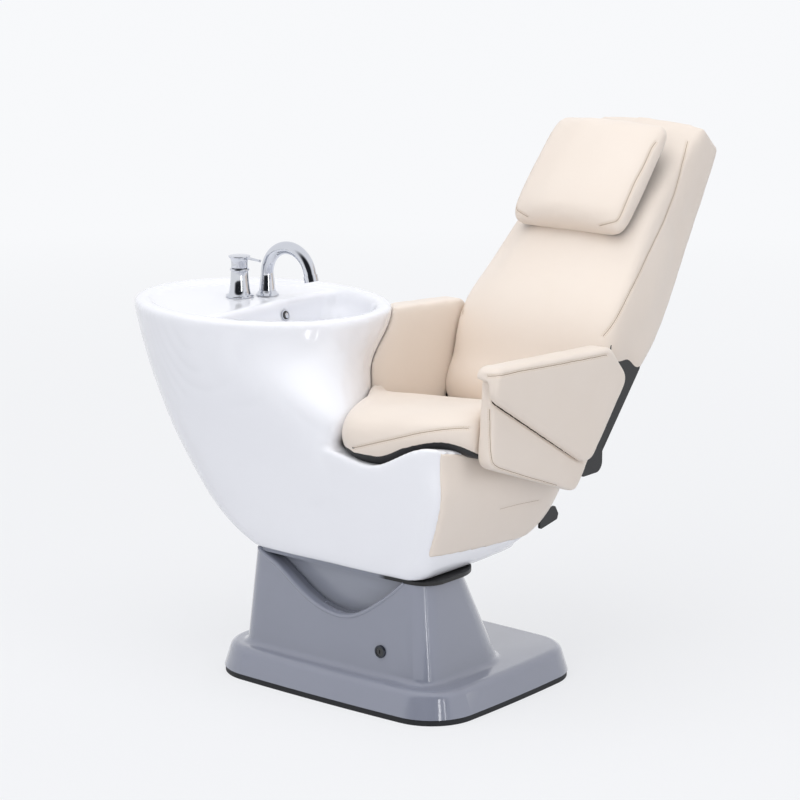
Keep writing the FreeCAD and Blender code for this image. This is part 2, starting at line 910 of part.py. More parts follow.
def drain_flange():
    top = deck_height - bowl_depth
    flange = cylinder(drain_flange_diameter, vec(bowl_floor_x, 0, top), vec(0, 0, 1),
                      drain_flange_thickness)
    rim = [edge for edge in flange.Edges if edge.BoundBox.ZMin > top + fit_clearance]
    flange = flange.makeFillet(drain_flange_thickness / 2, rim)
    tail = cylinder(drain_bore - 2 * fit_clearance, vec(bowl_floor_x, 0, top - drain_tail_length),
                    vec(0, 0, 1), drain_tail_length)
    bore = cylinder(drain_bore - 2 * waste_pipe_wall,
                    vec(bowl_floor_x, 0, top - drain_tail_length - overrun),
                    vec(0, 0, 1), drain_tail_length + 2 * overrun + drain_flange_thickness)
    return flange.fuse(tail).removeSplitter().cut(bore)


def drain_strainer():
    top = deck_height - bowl_depth + drain_flange_thickness - strainer_thickness
    plate = cylinder(drain_bore - 2 * waste_pipe_wall - 2 * fit_clearance,
                     vec(bowl_floor_x, 0, top), vec(0, 0, 1), strainer_thickness)
    ring = drain_bore / 4
    holes = [vec(bowl_floor_x, 0, top - overrun)]
    for step in range(strainer_holes):
        angle = 2 * math.pi * step / strainer_holes
        holes.append(vec(bowl_floor_x + ring * math.cos(angle), ring * math.sin(angle),
                         top - overrun))
    for place in holes:
        plate = plate.cut(cylinder(strainer_hole, place, vec(0, 0, 1), 2 * overrun))
    return plate


def overflow_ring():
    point, outward = overflow_place()
    start = point.sub(FreeCAD.Vector(outward).multiply(bowl_wall))
    tube = cylinder(overflow_bore - 2 * fit_clearance, start, outward,
                    bowl_wall + overflow_ring_thickness)
    disc = cylinder(overflow_ring_diameter, point, outward, overflow_ring_thickness)
    disc = disc.cut(bowl_shell_near())
    bore = cylinder(overflow_bore - 2 * overflow_ring_thickness,
                    start.sub(outward), outward, long_overrun)
    return tube.fuse(disc).removeSplitter().cut(bore)


def bowl_shell_near():
    """The space outside the bowl, to seat the overflow ring on the curved wall."""
    space = box(-rim_length, bowl_floor_x, 0, rim_width / 2, deck_height - bowl_depth / 2,
                deck_height)
    return space.cut(bowl_block(0))


def bottle_trap():
    top = deck_height - bowl_depth - drain_tail_length
    body = cylinder(trap_diameter, vec(bowl_floor_x, 0, top - trap_length), vec(0, 0, 1),
                    trap_length)
    room = cylinder(trap_diameter - 2 * waste_pipe_wall,
                    vec(bowl_floor_x, 0, top - trap_length + waste_pipe_wall),
                    vec(0, 0, 1), trap_length - 2 * waste_pipe_wall)
    inlet = cylinder(drain_bore - 2 * waste_pipe_wall, vec(bowl_floor_x, 0, top - 2 * overrun),
                     vec(0, 0, 1), 3 * overrun)
    return body.cut(room).cut(inlet).cut(waste_run(0))


def waste_run(wall):
    """The waste pipe as a solid: level from the trap, then down through the plate."""
    start = vec(bowl_floor_x, 0, waste_height)
    turn = vec(waste_pipe_x, lift_y, waste_height)
    direction = turn.sub(start)
    unit = FreeCAD.Vector(direction).normalize()
    begin = start.add(unit.multiply(trap_diameter / 2 - waste_pipe_wall))
    size = waste_pipe_diameter - 2 * wall
    level = cylinder(size, begin, direction, turn.sub(begin).Length)
    drop = cylinder(size, vec(waste_pipe_x, lift_y, waste_pipe_end - wall), vec(0, 0, 1),
                    waste_height - waste_pipe_end + wall)
    elbow = Part.makeSphere(size / 2, turn)
    return level.fuse(drop).fuse(elbow).removeSplitter()


def waste_pipe():
    start = vec(bowl_floor_x, 0, waste_height)
    turn = vec(waste_pipe_x, lift_y, waste_height)
    mouth = cylinder(waste_pipe_diameter - 2 * waste_pipe_wall, start, turn.sub(start),
                     trap_diameter)
    return waste_run(0).cut(waste_run(waste_pipe_wall)).cut(mouth)


def turned(axis_x, axis_y, profile):
    """Solid of revolution about a vertical axis from a list of radius and height."""
    points = [vec(axis_x + radius, axis_y, z) for radius, z in profile]
    face = polygon_face(points)
    return face.revolve(vec(axis_x, axis_y, 0), vec(0, 0, 1), 360)


def spout_base():
    base = spout_base_diameter / 2
    neck = spout_foot_diameter / 2
    top = deck_height + spout_collar_height
    collar = turned(spout_x, spout_y, [
        (0, deck_height), (base, deck_height), (base, deck_height + spout_collar_height / 5),
        (between(base, neck, 0.5), deck_height + spout_collar_height / 2), (neck, top), (0, top)])
    tail = cylinder(tap_tail_diameter, vec(spout_x, spout_y, deck_height - tap_tail_length),
                    vec(0, 0, 1), tap_tail_length)
    spigot = cylinder(spigot_diameter, vec(spout_x, spout_y, top), vec(0, 0, 1),
                      2 * spout_collar_height)
    bore = cylinder(spout_bore, vec(spout_x, spout_y, 0), vec(0, 0, 1), rim_height * 2)
    return collar.fuse(tail).fuse(spigot).removeSplitter().cut(bore)


def spout_leg():
    return (spout_rise - spout_radius - spout_tube_diameter / 2) - spout_collar_height


def spout_solid(shrink):
    """Tapered leg, round arch and short drop of the spout, thinner all round by the shrink."""
    bottom = deck_height + spout_collar_height
    leg = Part.makeCone(spout_foot_diameter / 2 - shrink, spout_tube_diameter / 2 - shrink,
                        spout_leg(), vec(spout_x, spout_y, bottom), vec(0, 0, 1))
    bend = vec(spout_x, spout_y, bottom + spout_leg())
    ring = Part.Face(Part.Wire([Part.makeCircle(spout_tube_diameter / 2 - shrink, bend,
                                                vec(0, 0, 1))]))
    centre = vec(spout_x + spout_radius, spout_y, bend.z)
    arch = ring.revolve(centre, vec(0, 1, 0), spout_turn)
    start, direction = spout_end()
    drop = cylinder(spout_tube_diameter - 2 * shrink, start, direction, spout_drop)
    return leg.fuse(arch).fuse(drop).removeSplitter()


def spout_end():
    """Where the arch of the spout ends, and the way it points there."""
    angle = math.radians(spout_turn)
    point = vec(spout_x + spout_radius * (1 - math.cos(angle)), spout_y,
                deck_height + spout_collar_height + spout_leg() + spout_radius * math.sin(angle))
    return point, vec(math.sin(angle), 0, math.cos(angle))


def spout():
    gap = layer_gap / 2
    tube = spout_solid(0).cut(spout_solid(spout_wall))
    bottom = deck_height + spout_collar_height
    trim = box(spout_x - spout_base_diameter, spout_x + spout_base_diameter,
               spout_y - spout_base_diameter, spout_y + spout_base_diameter,
               bottom - overrun, bottom + gap)
    sleeve = cylinder(spout_tube_diameter - spout_wall, vec(spout_x, spout_y, bottom + gap),
                      vec(0, 0, 1), 2 * spout_collar_height)
    bore = cylinder(spigot_diameter + 2 * fit_clearance, vec(spout_x, spout_y, bottom),
                    vec(0, 0, 1), 3 * spout_collar_height)
    return largest(tube.cut(trim).fuse(sleeve).removeSplitter().cut(bore))


def aerator():
    arch_end, direction = spout_end()
    point = arch_end.add(FreeCAD.Vector(direction).multiply(spout_drop))
    outer = cylinder(aerator_diameter, point, direction, aerator_length)
    back = point.sub(FreeCAD.Vector(direction).multiply(overrun))
    return outer.cut(cylinder(aerator_bore, back, direction, long_overrun))


def tap_nut(x, y):
    top = deck_height - bowl_wall
    points = []
    for step in range(6):
        angle = math.pi * step / 3
        points.append(vec(x + tap_nut_diameter / 2 * math.cos(angle),
                          y + tap_nut_diameter / 2 * math.sin(angle), top - tap_nut_height))
    nut = polygon_face(points).extrude(vec(0, 0, tap_nut_height))
    return nut.cut(cylinder(tap_tail_diameter + 2 * fit_clearance, vec(x, y, 0), vec(0, 0, 1),
                            rim_height))


def tap_valve():
    flange = handle_flange_diameter / 2
    low = handle_body_low / 2
    high = handle_body_high / 2
    top = deck_height + handle_waist
    step = deck_height + handle_flange_height
    disc = turned(handle_x, handle_y, [
        (0, deck_height), (flange, deck_height), (flange, between(deck_height, step, 0.6)),
        (between(low, flange, 0.8), step), (0, step)])
    body = turned(handle_x, handle_y, [
        (0, step), (low, step), (between(low, high, 0.45), between(step, top, 0.40)),
        (between(low, high, 0.85), between(step, top, 0.75)), (high, top), (0, top)])
    tail = cylinder(tap_tail_diameter, vec(handle_x, handle_y, deck_height - tap_tail_length),
                    vec(0, 0, 1), tap_tail_length)
    stem = cylinder(stem_diameter, vec(handle_x, handle_y, top), vec(0, 0, 1), stem_length)
    return disc.fuse(body).fuse(tail).fuse(stem).removeSplitter()


def tap_handle():
    bottom = deck_height + handle_waist + layer_gap / 2
    top = bottom + handle_cap_height
    radius = handle_cap_diameter / 2
    waist = handle_body_high / 2
    cap = turned(handle_x, handle_y, [
        (0, bottom), (waist, bottom), (radius, between(bottom, top, 0.18)),
        (radius, between(bottom, top, 0.60)), (radius * 0.78, between(bottom, top, 0.88)),
        (radius * 0.5, top), (0, top)])
    stem = cylinder(stem_diameter + 2 * fit_clearance, vec(handle_x, handle_y, bottom - overrun),
                    vec(0, 0, 1), overrun + stem_length + layer_gap)
    return cap.cut(stem).cut(lever_rod(lever_diameter, stem_diameter, lever_length))


def lever_rod(diameter, reach, length):
    """A round bar along the lever's line, from reach to reach + length off the handle's axis."""
    z = deck_height + handle_waist + handle_cap_height * lever_height_share
    direction = vec(math.cos(math.radians(lever_angle)), 0, math.sin(math.radians(lever_angle)))
    start = vec(handle_x + reach * direction.x, handle_y, z + reach * direction.z)
    return cylinder(diameter, start, direction, length)


def tap_lever():
    rod = lever_rod(lever_diameter, stem_diameter, lever_length)
    knob = lever_rod(lever_tip_diameter, stem_diameter + lever_length - lever_tip_diameter / 2, lever_tip_diameter)
    ends = [edge for edge in knob.Edges if edge.Curve.TypeId == "Part::GeomCircle"]
    return rod.fuse(knob.makeFillet(lever_tip_diameter * knob_round_share, ends)).removeSplitter()


def saddle_height(x, y):
    """Height of the moulded seat surface of the hull."""
    curve = Part.BSplineCurve()
    curve.interpolate([vec(seat_centre_x + place * seat_inner_width, 0,
                           between(body_bottom, hull_top, height))
                       for place, height in saddle_shares])
    low = curve.FirstParameter
    high = curve.LastParameter
    for step in range(tub_points):
        middle = (low + high) / 2
        if curve.value(middle).x < x:
            low = middle
        else:
            high = middle
    front = curve.value(low).z
    rear = between(body_bottom, hull_top, saddle_rear_share)
    share = (y + body_front + overrun) / (hull_rear + long_overrun + body_front + overrun)
    return between(front, rear, share)


def seat_section(shares):
    """One upright slice of the seat cushion, a closed curve seen from the side."""
    place, reach, lift, shrink = shares
    x = seat_centre_x + place * (seat_inner_width / 2 - soft_gap)
    front = reach * seat_front
    crown = seat_front_height + lift * seat_lift - shrink
    slope = (seat_rear_height - crown) / (seat_rear - soft_gap * overrun)
    knee = min(max(front + seat_nose_radius * 2, 0), seat_rear / 2) + shrink
    points = []
    for y in (seat_under_rear, (seat_under_rear + front) / 2, front + seat_nose_radius):
        points.append(vec(x, y, saddle_height(x, y) + layer_gap + shrink / 2))
    low = saddle_height(x, front) + layer_gap + shrink / 2
    points.append(vec(x, front + seat_nose_radius / 4, between(low, crown, 0.12)))
    points.append(vec(x, front, between(low, crown, 0.45)))
    points.append(vec(x, front + seat_nose_radius / 3, between(low, crown, 0.80)))
    points.append(vec(x, front + seat_nose_radius, between(low, crown, 0.97)))
    points.append(vec(x, knee, crown + slope * max(knee, 0) * 0.85))
    points.append(vec(x, between(knee, seat_rear, 0.5),
                      crown + slope * between(knee, seat_rear, 0.5) * 0.94))
    points.append(vec(x, seat_rear - seat_nose_radius, crown + slope * (seat_rear - seat_nose_radius)))
    points.append(vec(x, seat_rear, seat_rear_height - seat_nose_radius / 4))
    points.append(vec(x, seat_rear - seat_nose_radius / 3, seat_rear_bottom + seat_nose_radius))
    return points


def seat_cushion():
    sections = [seat_section(shares) for shares in seat_section_shares]
    first = sections[0][0].x + seat_end_trim
    last = sections[-1][0].x - seat_end_trim
    ends = box(first, last, -body_front, hull_rear, body_bottom, rim_height)
    pad = spline_loft(sections).common(ends)
    sweep = cylinder(2 * seat_hinge_room, vec(-rim_length, hinge_y, hinge_z), vec(1, 0, 0),
                     2 * rim_length)
    return largest(pad.cut(tub_block(-soft_gap)).cut(seat_under()).cut(sweep))


def release_lever():
    corners = [(release_y + along * release_length, release_z + up * release_height, turn * release_height)
               for along, up, turn in release_lever_shares]
    plate = Part.Face(rounded_polygon(corners)).extrude(vec(release_thickness, 0, 0))
    return largest(plate.translated(vec(release_x, 0, 0)).cut(hull_block(0)))


def seat_under():
    """Everything below the moulded seat surface, with the gap that the cushion keeps."""
    block = box(-rim_length, rim_length, -body_front, hull_rear + overrun, body_bottom, hull_top)
    return block.cut(seat_space(layer_gap))


def largest(shape):
    return max(shape.Solids, key=lambda solid: solid.Volume)


def rounded_polygon(corners):
    """Closed outline in a side view from corners of place, height and radius."""
    edges = []
    count = len(corners)
    joints = []
    for index in range(count):
        y, z, radius = corners[index]
        corner = vec(0, y, z)
        before = vec(0, corners[index - 1][0], corners[index - 1][1]).sub(corner).normalize()
        after = corners[(index + 1) % count]
        after = vec(0, after[0], after[1]).sub(corner).normalize()
        half = before.getAngle(after) / 2
        start = corner.add(FreeCAD.Vector(before).multiply(radius / math.tan(half)))
        end = corner.add(FreeCAD.Vector(after).multiply(radius / math.tan(half)))
        inward = before.add(after).normalize()
        middle = corner.add(inward.multiply(radius / math.sin(half) - radius))
        joints.append((start, middle, end))
    for index in range(count):
        start, middle, end = joints[index]
        edges.append(Part.Arc(start, middle, end).toShape())
        edges.append(Part.makeLine(end, joints[(index + 1) % count][0]))
    return Part.Wire(edges)


def arm_prism(shares, start, thickness, radius):
    """Rounded block with the side outline given as shares of the arm."""
    corners = [(arm_start + along * arm_length, arm_bottom + up * arm_height, turn * arm_height)
               for along, up, turn in shares]
    block = Part.Face(rounded_polygon(corners)).extrude(vec(thickness, 0, 0))
    block.translate(vec(start, 0, 0))
    ends = [edge for edge in block.Edges
            if edge.BoundBox.XMax - edge.BoundBox.XMin < fit_clearance]
    return block.makeFillet(radius, ends)


def arm_cap_space(shares, outer, gap):
    """Everything above the line where the armrest pad ends on the inner side."""
    front = arm_bottom + shares[0] * arm_height - gap
    rear = arm_bottom + shares[1] * arm_height - gap
    y0 = arm_start - long_overrun
    y1 = arm_start + arm_length + long_overrun
    points = [vec(0, y0, front), vec(0, y1, rear), vec(0, y1, rim_height), vec(0, y0, rim_height)]
    return polygon_face(points).extrude(vec(outer, 0, 0))


def arm_inner():
    return seat_centre_x + seat_inner_width / 2


def arm_panel(panel_shares, cap_shares):
    start = arm_inner()
    panel = arm_prism(panel_shares, start, arm_panel_thickness, arm_edge_radius)
    panel = panel.cut(arm_cap_space(cap_shares, start + arm_panel_thickness + overrun, layer_gap))
    return panel.cut(hinge_plate(layer_gap))


def arm_pad(pad_shares, cap_shares):
    start = arm_inner()
    outer = start + arm_panel_thickness
    pad = arm_prism(pad_shares, start, arm_panel_thickness + arm_pad_thickness, arm_edge_radius)
    under = box(0, outer + layer_gap, arm_start - long_overrun, arm_start + 2 * arm_length, 0,
                rim_height + long_overrun)
    return pad.cut(under.cut(arm_cap_space(cap_shares, outer + overrun, 0)))


def mirrored(shape):
    return shape.mirror(vec(seat_centre_x, 0, 0), vec(1, 0, 0))


def arm_beside_tub(shape):
    """The arm on the basin side: mirrored, and cut back to clear the basin body."""
    return largest(mirrored(shape).cut(tub_block(-soft_gap)).cut(basin_edge()))


def basin_edge():
    return tub_slab(body_top, rim_height, -soft_gap)


def arm_brackets():
    hull = hull_block(0)
    right = box(hull_right - long_overrun, arm_inner(), arm_bracket_y, arm_bracket_y
                + arm_bracket_length, arm_bracket_z, arm_bracket_z + arm_bracket_height)
    right = largest(right.cut(hull))
    left_start = 2 * seat_centre_x - arm_inner()
    left = box(left_start, hull_left + overrun * 2, left_bracket_y,
               left_bracket_y + left_bracket_length, left_bracket_z,
               left_bracket_z + arm_bracket_height)
    left = largest(left.cut(hull).cut(tub_block(0)))
    return Part.makeCompound([right, left])


def hinge_plate(gap):
    """Steel plate let into the inner face of the arm around the hinge."""
    half = hinge_plate_width / 2 + gap
    block = box(arm_inner() - gap, arm_inner() + hinge_plate_thickness + gap,
                hinge_y - half, hinge_y + half, hinge_z - half, hinge_z + half)
    rims = [edge for edge in block.Edges
            if edge.BoundBox.XMax - edge.BoundBox.XMin > overrun / 2]
    return block.makeFillet(hinge_plate_width / 4, rims)


def hinge_brackets():
    inner = arm_inner() - 2 * hinge_plate_thickness
    boss = cylinder(hinge_pin_head, vec(seat_centre_x + frame_outer + layer_gap, hinge_y, hinge_z),
                    vec(1, 0, 0), arm_inner() - seat_centre_x - frame_outer - layer_gap)
    pin = cylinder(hinge_pin_diameter,
                   vec(seat_centre_x + frame_outer - frame_plate_thickness - layer_gap, hinge_y,
                       hinge_z),
                   vec(1, 0, 0), arm_inner() - seat_centre_x - frame_outer
                   + frame_plate_thickness + layer_gap)
    bracket = hinge_plate(0).fuse(boss).fuse(pin).removeSplitter()
    return Part.makeCompound([bracket, mirrored(bracket)])


def hinge_caps():
    start = seat_centre_x + frame_outer - frame_plate_thickness - layer_gap
    cap = cylinder(hinge_pin_head, vec(start - hinge_plate_thickness, hinge_y, hinge_z),
                   vec(1, 0, 0), hinge_plate_thickness)
    return Part.makeCompound([cap, mirrored(cap)])


def leaned(shape):
    """Moves a shape from the frame of the back to the world."""
    shape.rotate(vec(0, 0, 0), vec(1, 0, 0), -back_angle)
    shape.translate(vec(seat_centre_x, hinge_y, hinge_z))
    return shape


def back_section(shares):
    """One level of the back cushion across its length: crowned front, soft corners."""
    along, face, width, bulge = shares
    half = width * back_width / 2
    edge = face * back_front_face
    rear = back_rear_face + back_rear_bulge * bulge
    side = edge / 6
    half_points = [
        (0, edge + back_crown),
        (half * 0.30, edge + back_crown * 0.93),
        (half * 0.60, edge + back_crown * 0.66),
        (half * 0.84, edge + back_crown * 0.26),
        (half * 0.975, edge - side * 0.2),
        (half * 0.998, edge - side * 1.2),
        (half, between(edge, -rear, 0.4)),
        (half, between(edge, -rear, 0.75)),
        (half - overrun, overrun - rear),
        (half * 0.90, -rear),
        (half * 0.5, -rear),
    ]
    points = [vec(x, -t, along * back_length) for x, t in half_points]
    points.append(vec(0, rear, along * back_length))
    points.extend(vec(-x, -t, along * back_length) for x, t in reversed(half_points[1:]))
    return points


def back_cushion():
    pad = spline_loft([back_section(shares) for shares in back_section_shares])
    pad = pad.cut(back_frame_local(layer_gap))
    pad = pad.cut(back_board_local(layer_gap))
    return leaned(largest(pad.cut(post_room(slot_gap))))


def side_plate_face():
    corners = [(-along * back_rear_face, up * frame_height, turn * frame_height)
               for along, up, turn in side_plate_shares]
    return Part.Face(rounded_polygon(corners))


def back_frame_local(gap):
    """Steel frame of the back: two side plates around the hinge and a rear plate."""
    outer = frame_outer
    plate = side_plate_face().extrude(vec(frame_plate_thickness + long_overrun * min(gap, 1), 0, 0))
    plate.translate(vec(outer - frame_plate_thickness - gap, 0, 0))
    other = plate.mirror(vec(0, 0, 0), vec(1, 0, 0))
    rear = box(-outer + gap, outer - gap, back_rear_face - frame_plate_thickness - gap,
               back_rear_face + overrun * min(gap, 1), rear_plate_start, frame_height + gap)
    return plate.fuse(other).fuse(rear)


def back_frame():
    frame = back_frame_local(0).removeSplitter()
    bore = cylinder(hinge_pin_diameter + 2 * fit_clearance, vec(-rim_length, 0, 0), vec(1, 0, 0),
                    2 * rim_length)
    return leaned(frame.cut(bore))


def back_board_local(gap):
    front = back_rear_face - frame_plate_thickness - board_thickness
    return box(-board_width / 2 - gap, board_width / 2 + gap, front - gap,
               front + board_thickness + gap, board_bottom - gap, board_top + gap)


def back_board():
    return leaned(back_board_local(0).cut(post_room(fit_clearance)))


def post_block(gap, rise):
    start = headrest_start + headrest_length / 2
    rear = back_rear_face - frame_plate_thickness - overrun
    return box(-post_width / 2 - gap, post_width / 2 + gap, -headrest_rear_face,
               rear, start - gap, start + post_thickness + gap + rise)


def post_room(gap):
    """The slot that the post of the headrest slides in, cut right through the board."""
    return post_block(gap, headrest_travel).fuse(
        post_block(gap, headrest_travel).translated(vec(0, 2 * overrun, 0)))


def headrest_plate():
    start = headrest_start + headrest_length / 2
    half = headrest_plate_size / 2
    plate = box(-half, half, -headrest_rear_face, headrest_plate_thickness - headrest_rear_face,
                start - half / 2, start + half)
    return leaned(plate.fuse(post_block(0, 0)).removeSplitter())


def headrest_section(shares):
    along, width, depth = shares
    half = width * headrest_width / 2
    thick = headrest_thickness * depth
    rear = headrest_rear_face + (headrest_thickness - thick) * 0.35
    half_points = [
        (0, rear + thick + headrest_crown * depth),
        (half * 0.4, rear + thick + headrest_crown * depth * 0.85),
        (half * 0.8, rear + thick * 0.98),
        (half * 0.96, rear + thick * 0.80),
        (half, rear + thick * 0.5),
        (half * 0.965, rear + thick * 0.14),
        (half * 0.85, rear),
        (half * 0.4, rear),
    ]
    z = headrest_start + along * headrest_length
    points = [vec(x, -t, z) for x, t in half_points]
    points.append(vec(0, -rear, z))
    points.extend(vec(-x, -t, z) for x, t in reversed(half_points[1:]))
    return points


def headrest_pad():
    pad = spline_loft([headrest_section(shares) for shares in headrest_section_shares])
    behind = box(-headrest_width, headrest_width, -headrest_rear_face, rim_width,
                 headrest_start - overrun, headrest_start + headrest_length + overrun)
    return leaned(pad.cut(behind))


pieces = {
    "floor_strip": floor_strip,
    "base_plate": base_plate,
    "floor_bolts": floor_bolts,
    "column_cover": column_cover,
    "body_shell": body_shell,
    "seat_skirt": lambda: skirt_block(0),
    "mounting_plate": mounting_plate,
    "inner_cover": inner_cover,
    "guide_sleeves": guide_sleeves,
    "guide_rods": guide_rods,
    "lift_actuator": lift_actuator,
    "lift_rod": lift_rod,
    "lock_bezel": lock_bezel,
    "lock_barrel": lock_barrel,
    "lock_cam": lock_cam,
    "basin": basin,
    "drain_flange": drain_flange,
    "drain_strainer": drain_strainer,
    "overflow_ring": overflow_ring,
    "bottle_trap": bottle_trap,
    "waste_pipe": waste_pipe,
    "spout_base": spout_base,
    "spout": spout,
    "spout_nut": lambda: tap_nut(spout_x, spout_y),
    "aerator": aerator,
    "tap_valve": tap_valve,
    "valve_nut": lambda: tap_nut(handle_x, handle_y),
    "tap_handle": tap_handle,
    "tap_lever": tap_lever,
    "seat_cushion": seat_cushion,
    "arm_panel_right": lambda: arm_panel(arm_panel_shares, arm_cap_shares),
    "arm_panel_left": lambda: arm_beside_tub(arm_panel(far_panel_shares, far_cap_shares)),
    "arm_pad_right": lambda: arm_pad(arm_pad_shares, arm_cap_shares),
    "arm_pad_left": lambda: arm_beside_tub(arm_pad(far_pad_shares, far_cap_shares)),
    "arm_brackets": arm_brackets,
    "hinge_brackets": hinge_brackets,
    "hinge_caps": hinge_caps,
    "release_lever": release_lever,
    "back_frame": back_frame,
    "back_board": back_board,
    "back_cushion": back_cushion,
    "headrest_plate": headrest_plate,
    "headrest_pad": headrest_pad,
}

os.makedirs("parts", exist_ok=True)
for name, make in pieces.items():
    shape = make()
    shape.exportStep("parts/" + name + ".step")
    print(name, "valid", shape.isValid(), "solids", len(shape.Solids), "volume", round(shape.Volume))
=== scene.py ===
# Hair washing unit: basin and reclining seat on one white body over a grey lifting column.
# Metres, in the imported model's frame: the floor is at z 0 and the sitter faces -Y.
import bpy
import bmesh
import json
import math
import numpy as np
from mathutils import Matrix, Vector
from mathutils.bvhtree import BVHTree
from mathutils.kdtree import KDTree

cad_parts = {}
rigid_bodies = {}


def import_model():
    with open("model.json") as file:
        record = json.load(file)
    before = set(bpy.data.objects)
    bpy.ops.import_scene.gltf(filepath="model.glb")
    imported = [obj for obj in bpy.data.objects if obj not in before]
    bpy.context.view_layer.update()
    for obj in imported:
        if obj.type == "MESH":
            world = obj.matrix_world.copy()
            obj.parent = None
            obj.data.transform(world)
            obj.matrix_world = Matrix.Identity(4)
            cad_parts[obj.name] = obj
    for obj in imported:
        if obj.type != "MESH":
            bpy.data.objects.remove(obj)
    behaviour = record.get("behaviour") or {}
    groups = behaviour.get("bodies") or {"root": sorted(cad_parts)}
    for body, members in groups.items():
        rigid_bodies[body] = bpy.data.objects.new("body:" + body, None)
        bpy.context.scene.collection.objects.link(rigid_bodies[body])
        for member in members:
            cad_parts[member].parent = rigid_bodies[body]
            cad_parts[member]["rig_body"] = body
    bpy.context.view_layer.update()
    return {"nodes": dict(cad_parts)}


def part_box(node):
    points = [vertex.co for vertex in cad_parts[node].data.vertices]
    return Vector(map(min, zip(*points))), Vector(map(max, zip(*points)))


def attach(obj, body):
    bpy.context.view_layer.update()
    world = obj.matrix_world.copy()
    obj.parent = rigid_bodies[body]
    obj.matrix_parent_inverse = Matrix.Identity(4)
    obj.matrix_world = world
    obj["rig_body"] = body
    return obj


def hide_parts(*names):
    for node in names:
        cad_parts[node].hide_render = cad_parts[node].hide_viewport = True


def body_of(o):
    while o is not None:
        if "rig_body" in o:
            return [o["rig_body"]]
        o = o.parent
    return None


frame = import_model()
nodes = frame["nodes"]
scene = bpy.context.scene

# Camera
# A long lens on a stand, a little above the seat, looking down at the unit from its front right.
# It is placed by the lines of the foot, the basin rim and the seat back.
stand_turn = 0.6814
stand_distance = 5.892
stand_height = 1.974
aim_right = 0.0016
tilt_down = 0.2262
camera = bpy.data.objects.new("camera", bpy.data.cameras.new("camera"))
scene.collection.objects.link(camera)
camera.data.lens = 124.9
camera.data.sensor_width = 36.0
camera.data.clip_end = 100.0
camera.location = (stand_distance * math.sin(stand_turn),
                   -stand_distance * math.cos(stand_turn), stand_height)
camera.rotation_euler = (math.pi / 2 - tilt_down, 0.0, stand_turn - aim_right)
scene.camera = camera

# Studio
# A pale seamless floor that runs to the horizon, and soft light from large lamps and a bright room.
# The floor shows near its own colour to the camera and keeps the soft shadow under the unit.
def linear(code):
    """A screen colour such as #f2f3f7 as linear red, green, blue and alpha."""
    parts = [int(code[i:i + 2], 16) / 255 for i in (1, 3, 5)]
    return [c / 12.92 if c <= 0.04045 else ((c + 0.055) / 1.055) ** 2.4 for c in parts] + [1.0]


def add(tree, kind, sockets=None, **settings):
    """Adds a shader node. A socket takes a value, or a pair of node and output name to link."""
    node = tree.nodes.new(kind)
    for key, value in settings.items():
        setattr(node, key, value)
    for key, value in (sockets or {}).items():
        if isinstance(value, tuple) and isinstance(value[0], bpy.types.Node):
            tree.links.new(value[0].outputs[value[1]], node.inputs[key])
        else:
            node.inputs[key].default_value = value
    return node


def empty_material(name):
    """A new material without nodes, and its node tree."""
    material = bpy.data.materials.new(name)
    material.use_nodes = True
    material.node_tree.nodes.clear()
    return material, material.node_tree


def shown(tree):
    """The light path, and a value that is 1 for what the camera or a reflection shows."""
    path = add(tree, "ShaderNodeLightPath")
    return path, add(tree, "ShaderNodeMath", {
        0: (path, "Is Camera Ray"), 1: (path, "Is Glossy Ray")}, operation="MAXIMUM")


def as_object(name, shape, material):
    """Makes an object of a bmesh, with one material."""
    mesh = bpy.data.meshes.new(name)
    shape.to_mesh(mesh)
    shape.free()
    mesh.materials.append(material)
    made = bpy.data.objects.new(name, mesh)
    scene.collection.objects.link(made)
    return made


studio_floor, tree = empty_material("studio_floor")
seen = shown(tree)[1]
place = add(tree, "ShaderNodeTexCoord")
reach = add(tree, "ShaderNodeVectorMath", {0: (place, "Object")}, operation="LENGTH")
far = add(tree, "ShaderNodeMapRange", {
    "Value": (reach, "Value"), "From Min": 0.6, "From Max": 6.0, "To Min": 0.72, "To Max": 0.97})
share = add(tree, "ShaderNodeMath", {0: (seen, 0), 1: (far, 0)}, operation="MULTIPLY")
paint = add(tree, "ShaderNodeBsdfDiffuse", {"Color": linear("#dcdde0")})
glow = add(tree, "ShaderNodeEmission", {"Color": linear("#fafbfd"), "Strength": 1.0})
mixed = add(tree, "ShaderNodeMixShader", {0: (share, 0), 1: (paint, 0), 2: (glow, 0)})
add(tree, "ShaderNodeOutputMaterial", {"Surface": (mixed, 0)})
ground = bmesh.new()
bmesh.ops.create_circle(ground, cap_ends=True, segments=64, radius=45.0)
as_object("studio_floor", ground, studio_floor)

world = bpy.data.worlds.new("bright_room")
scene.world = world
world.use_nodes = True
tree = world.node_tree
tree.nodes.clear()
path, seen = shown(tree)
room = add(tree, "ShaderNodeBackground", {"Color": linear("#f4f5fa"), "Strength": 0.45})
backdrop = add(tree, "ShaderNodeBackground", {"Color": linear("#f7f8fc"), "Strength": 1.0})
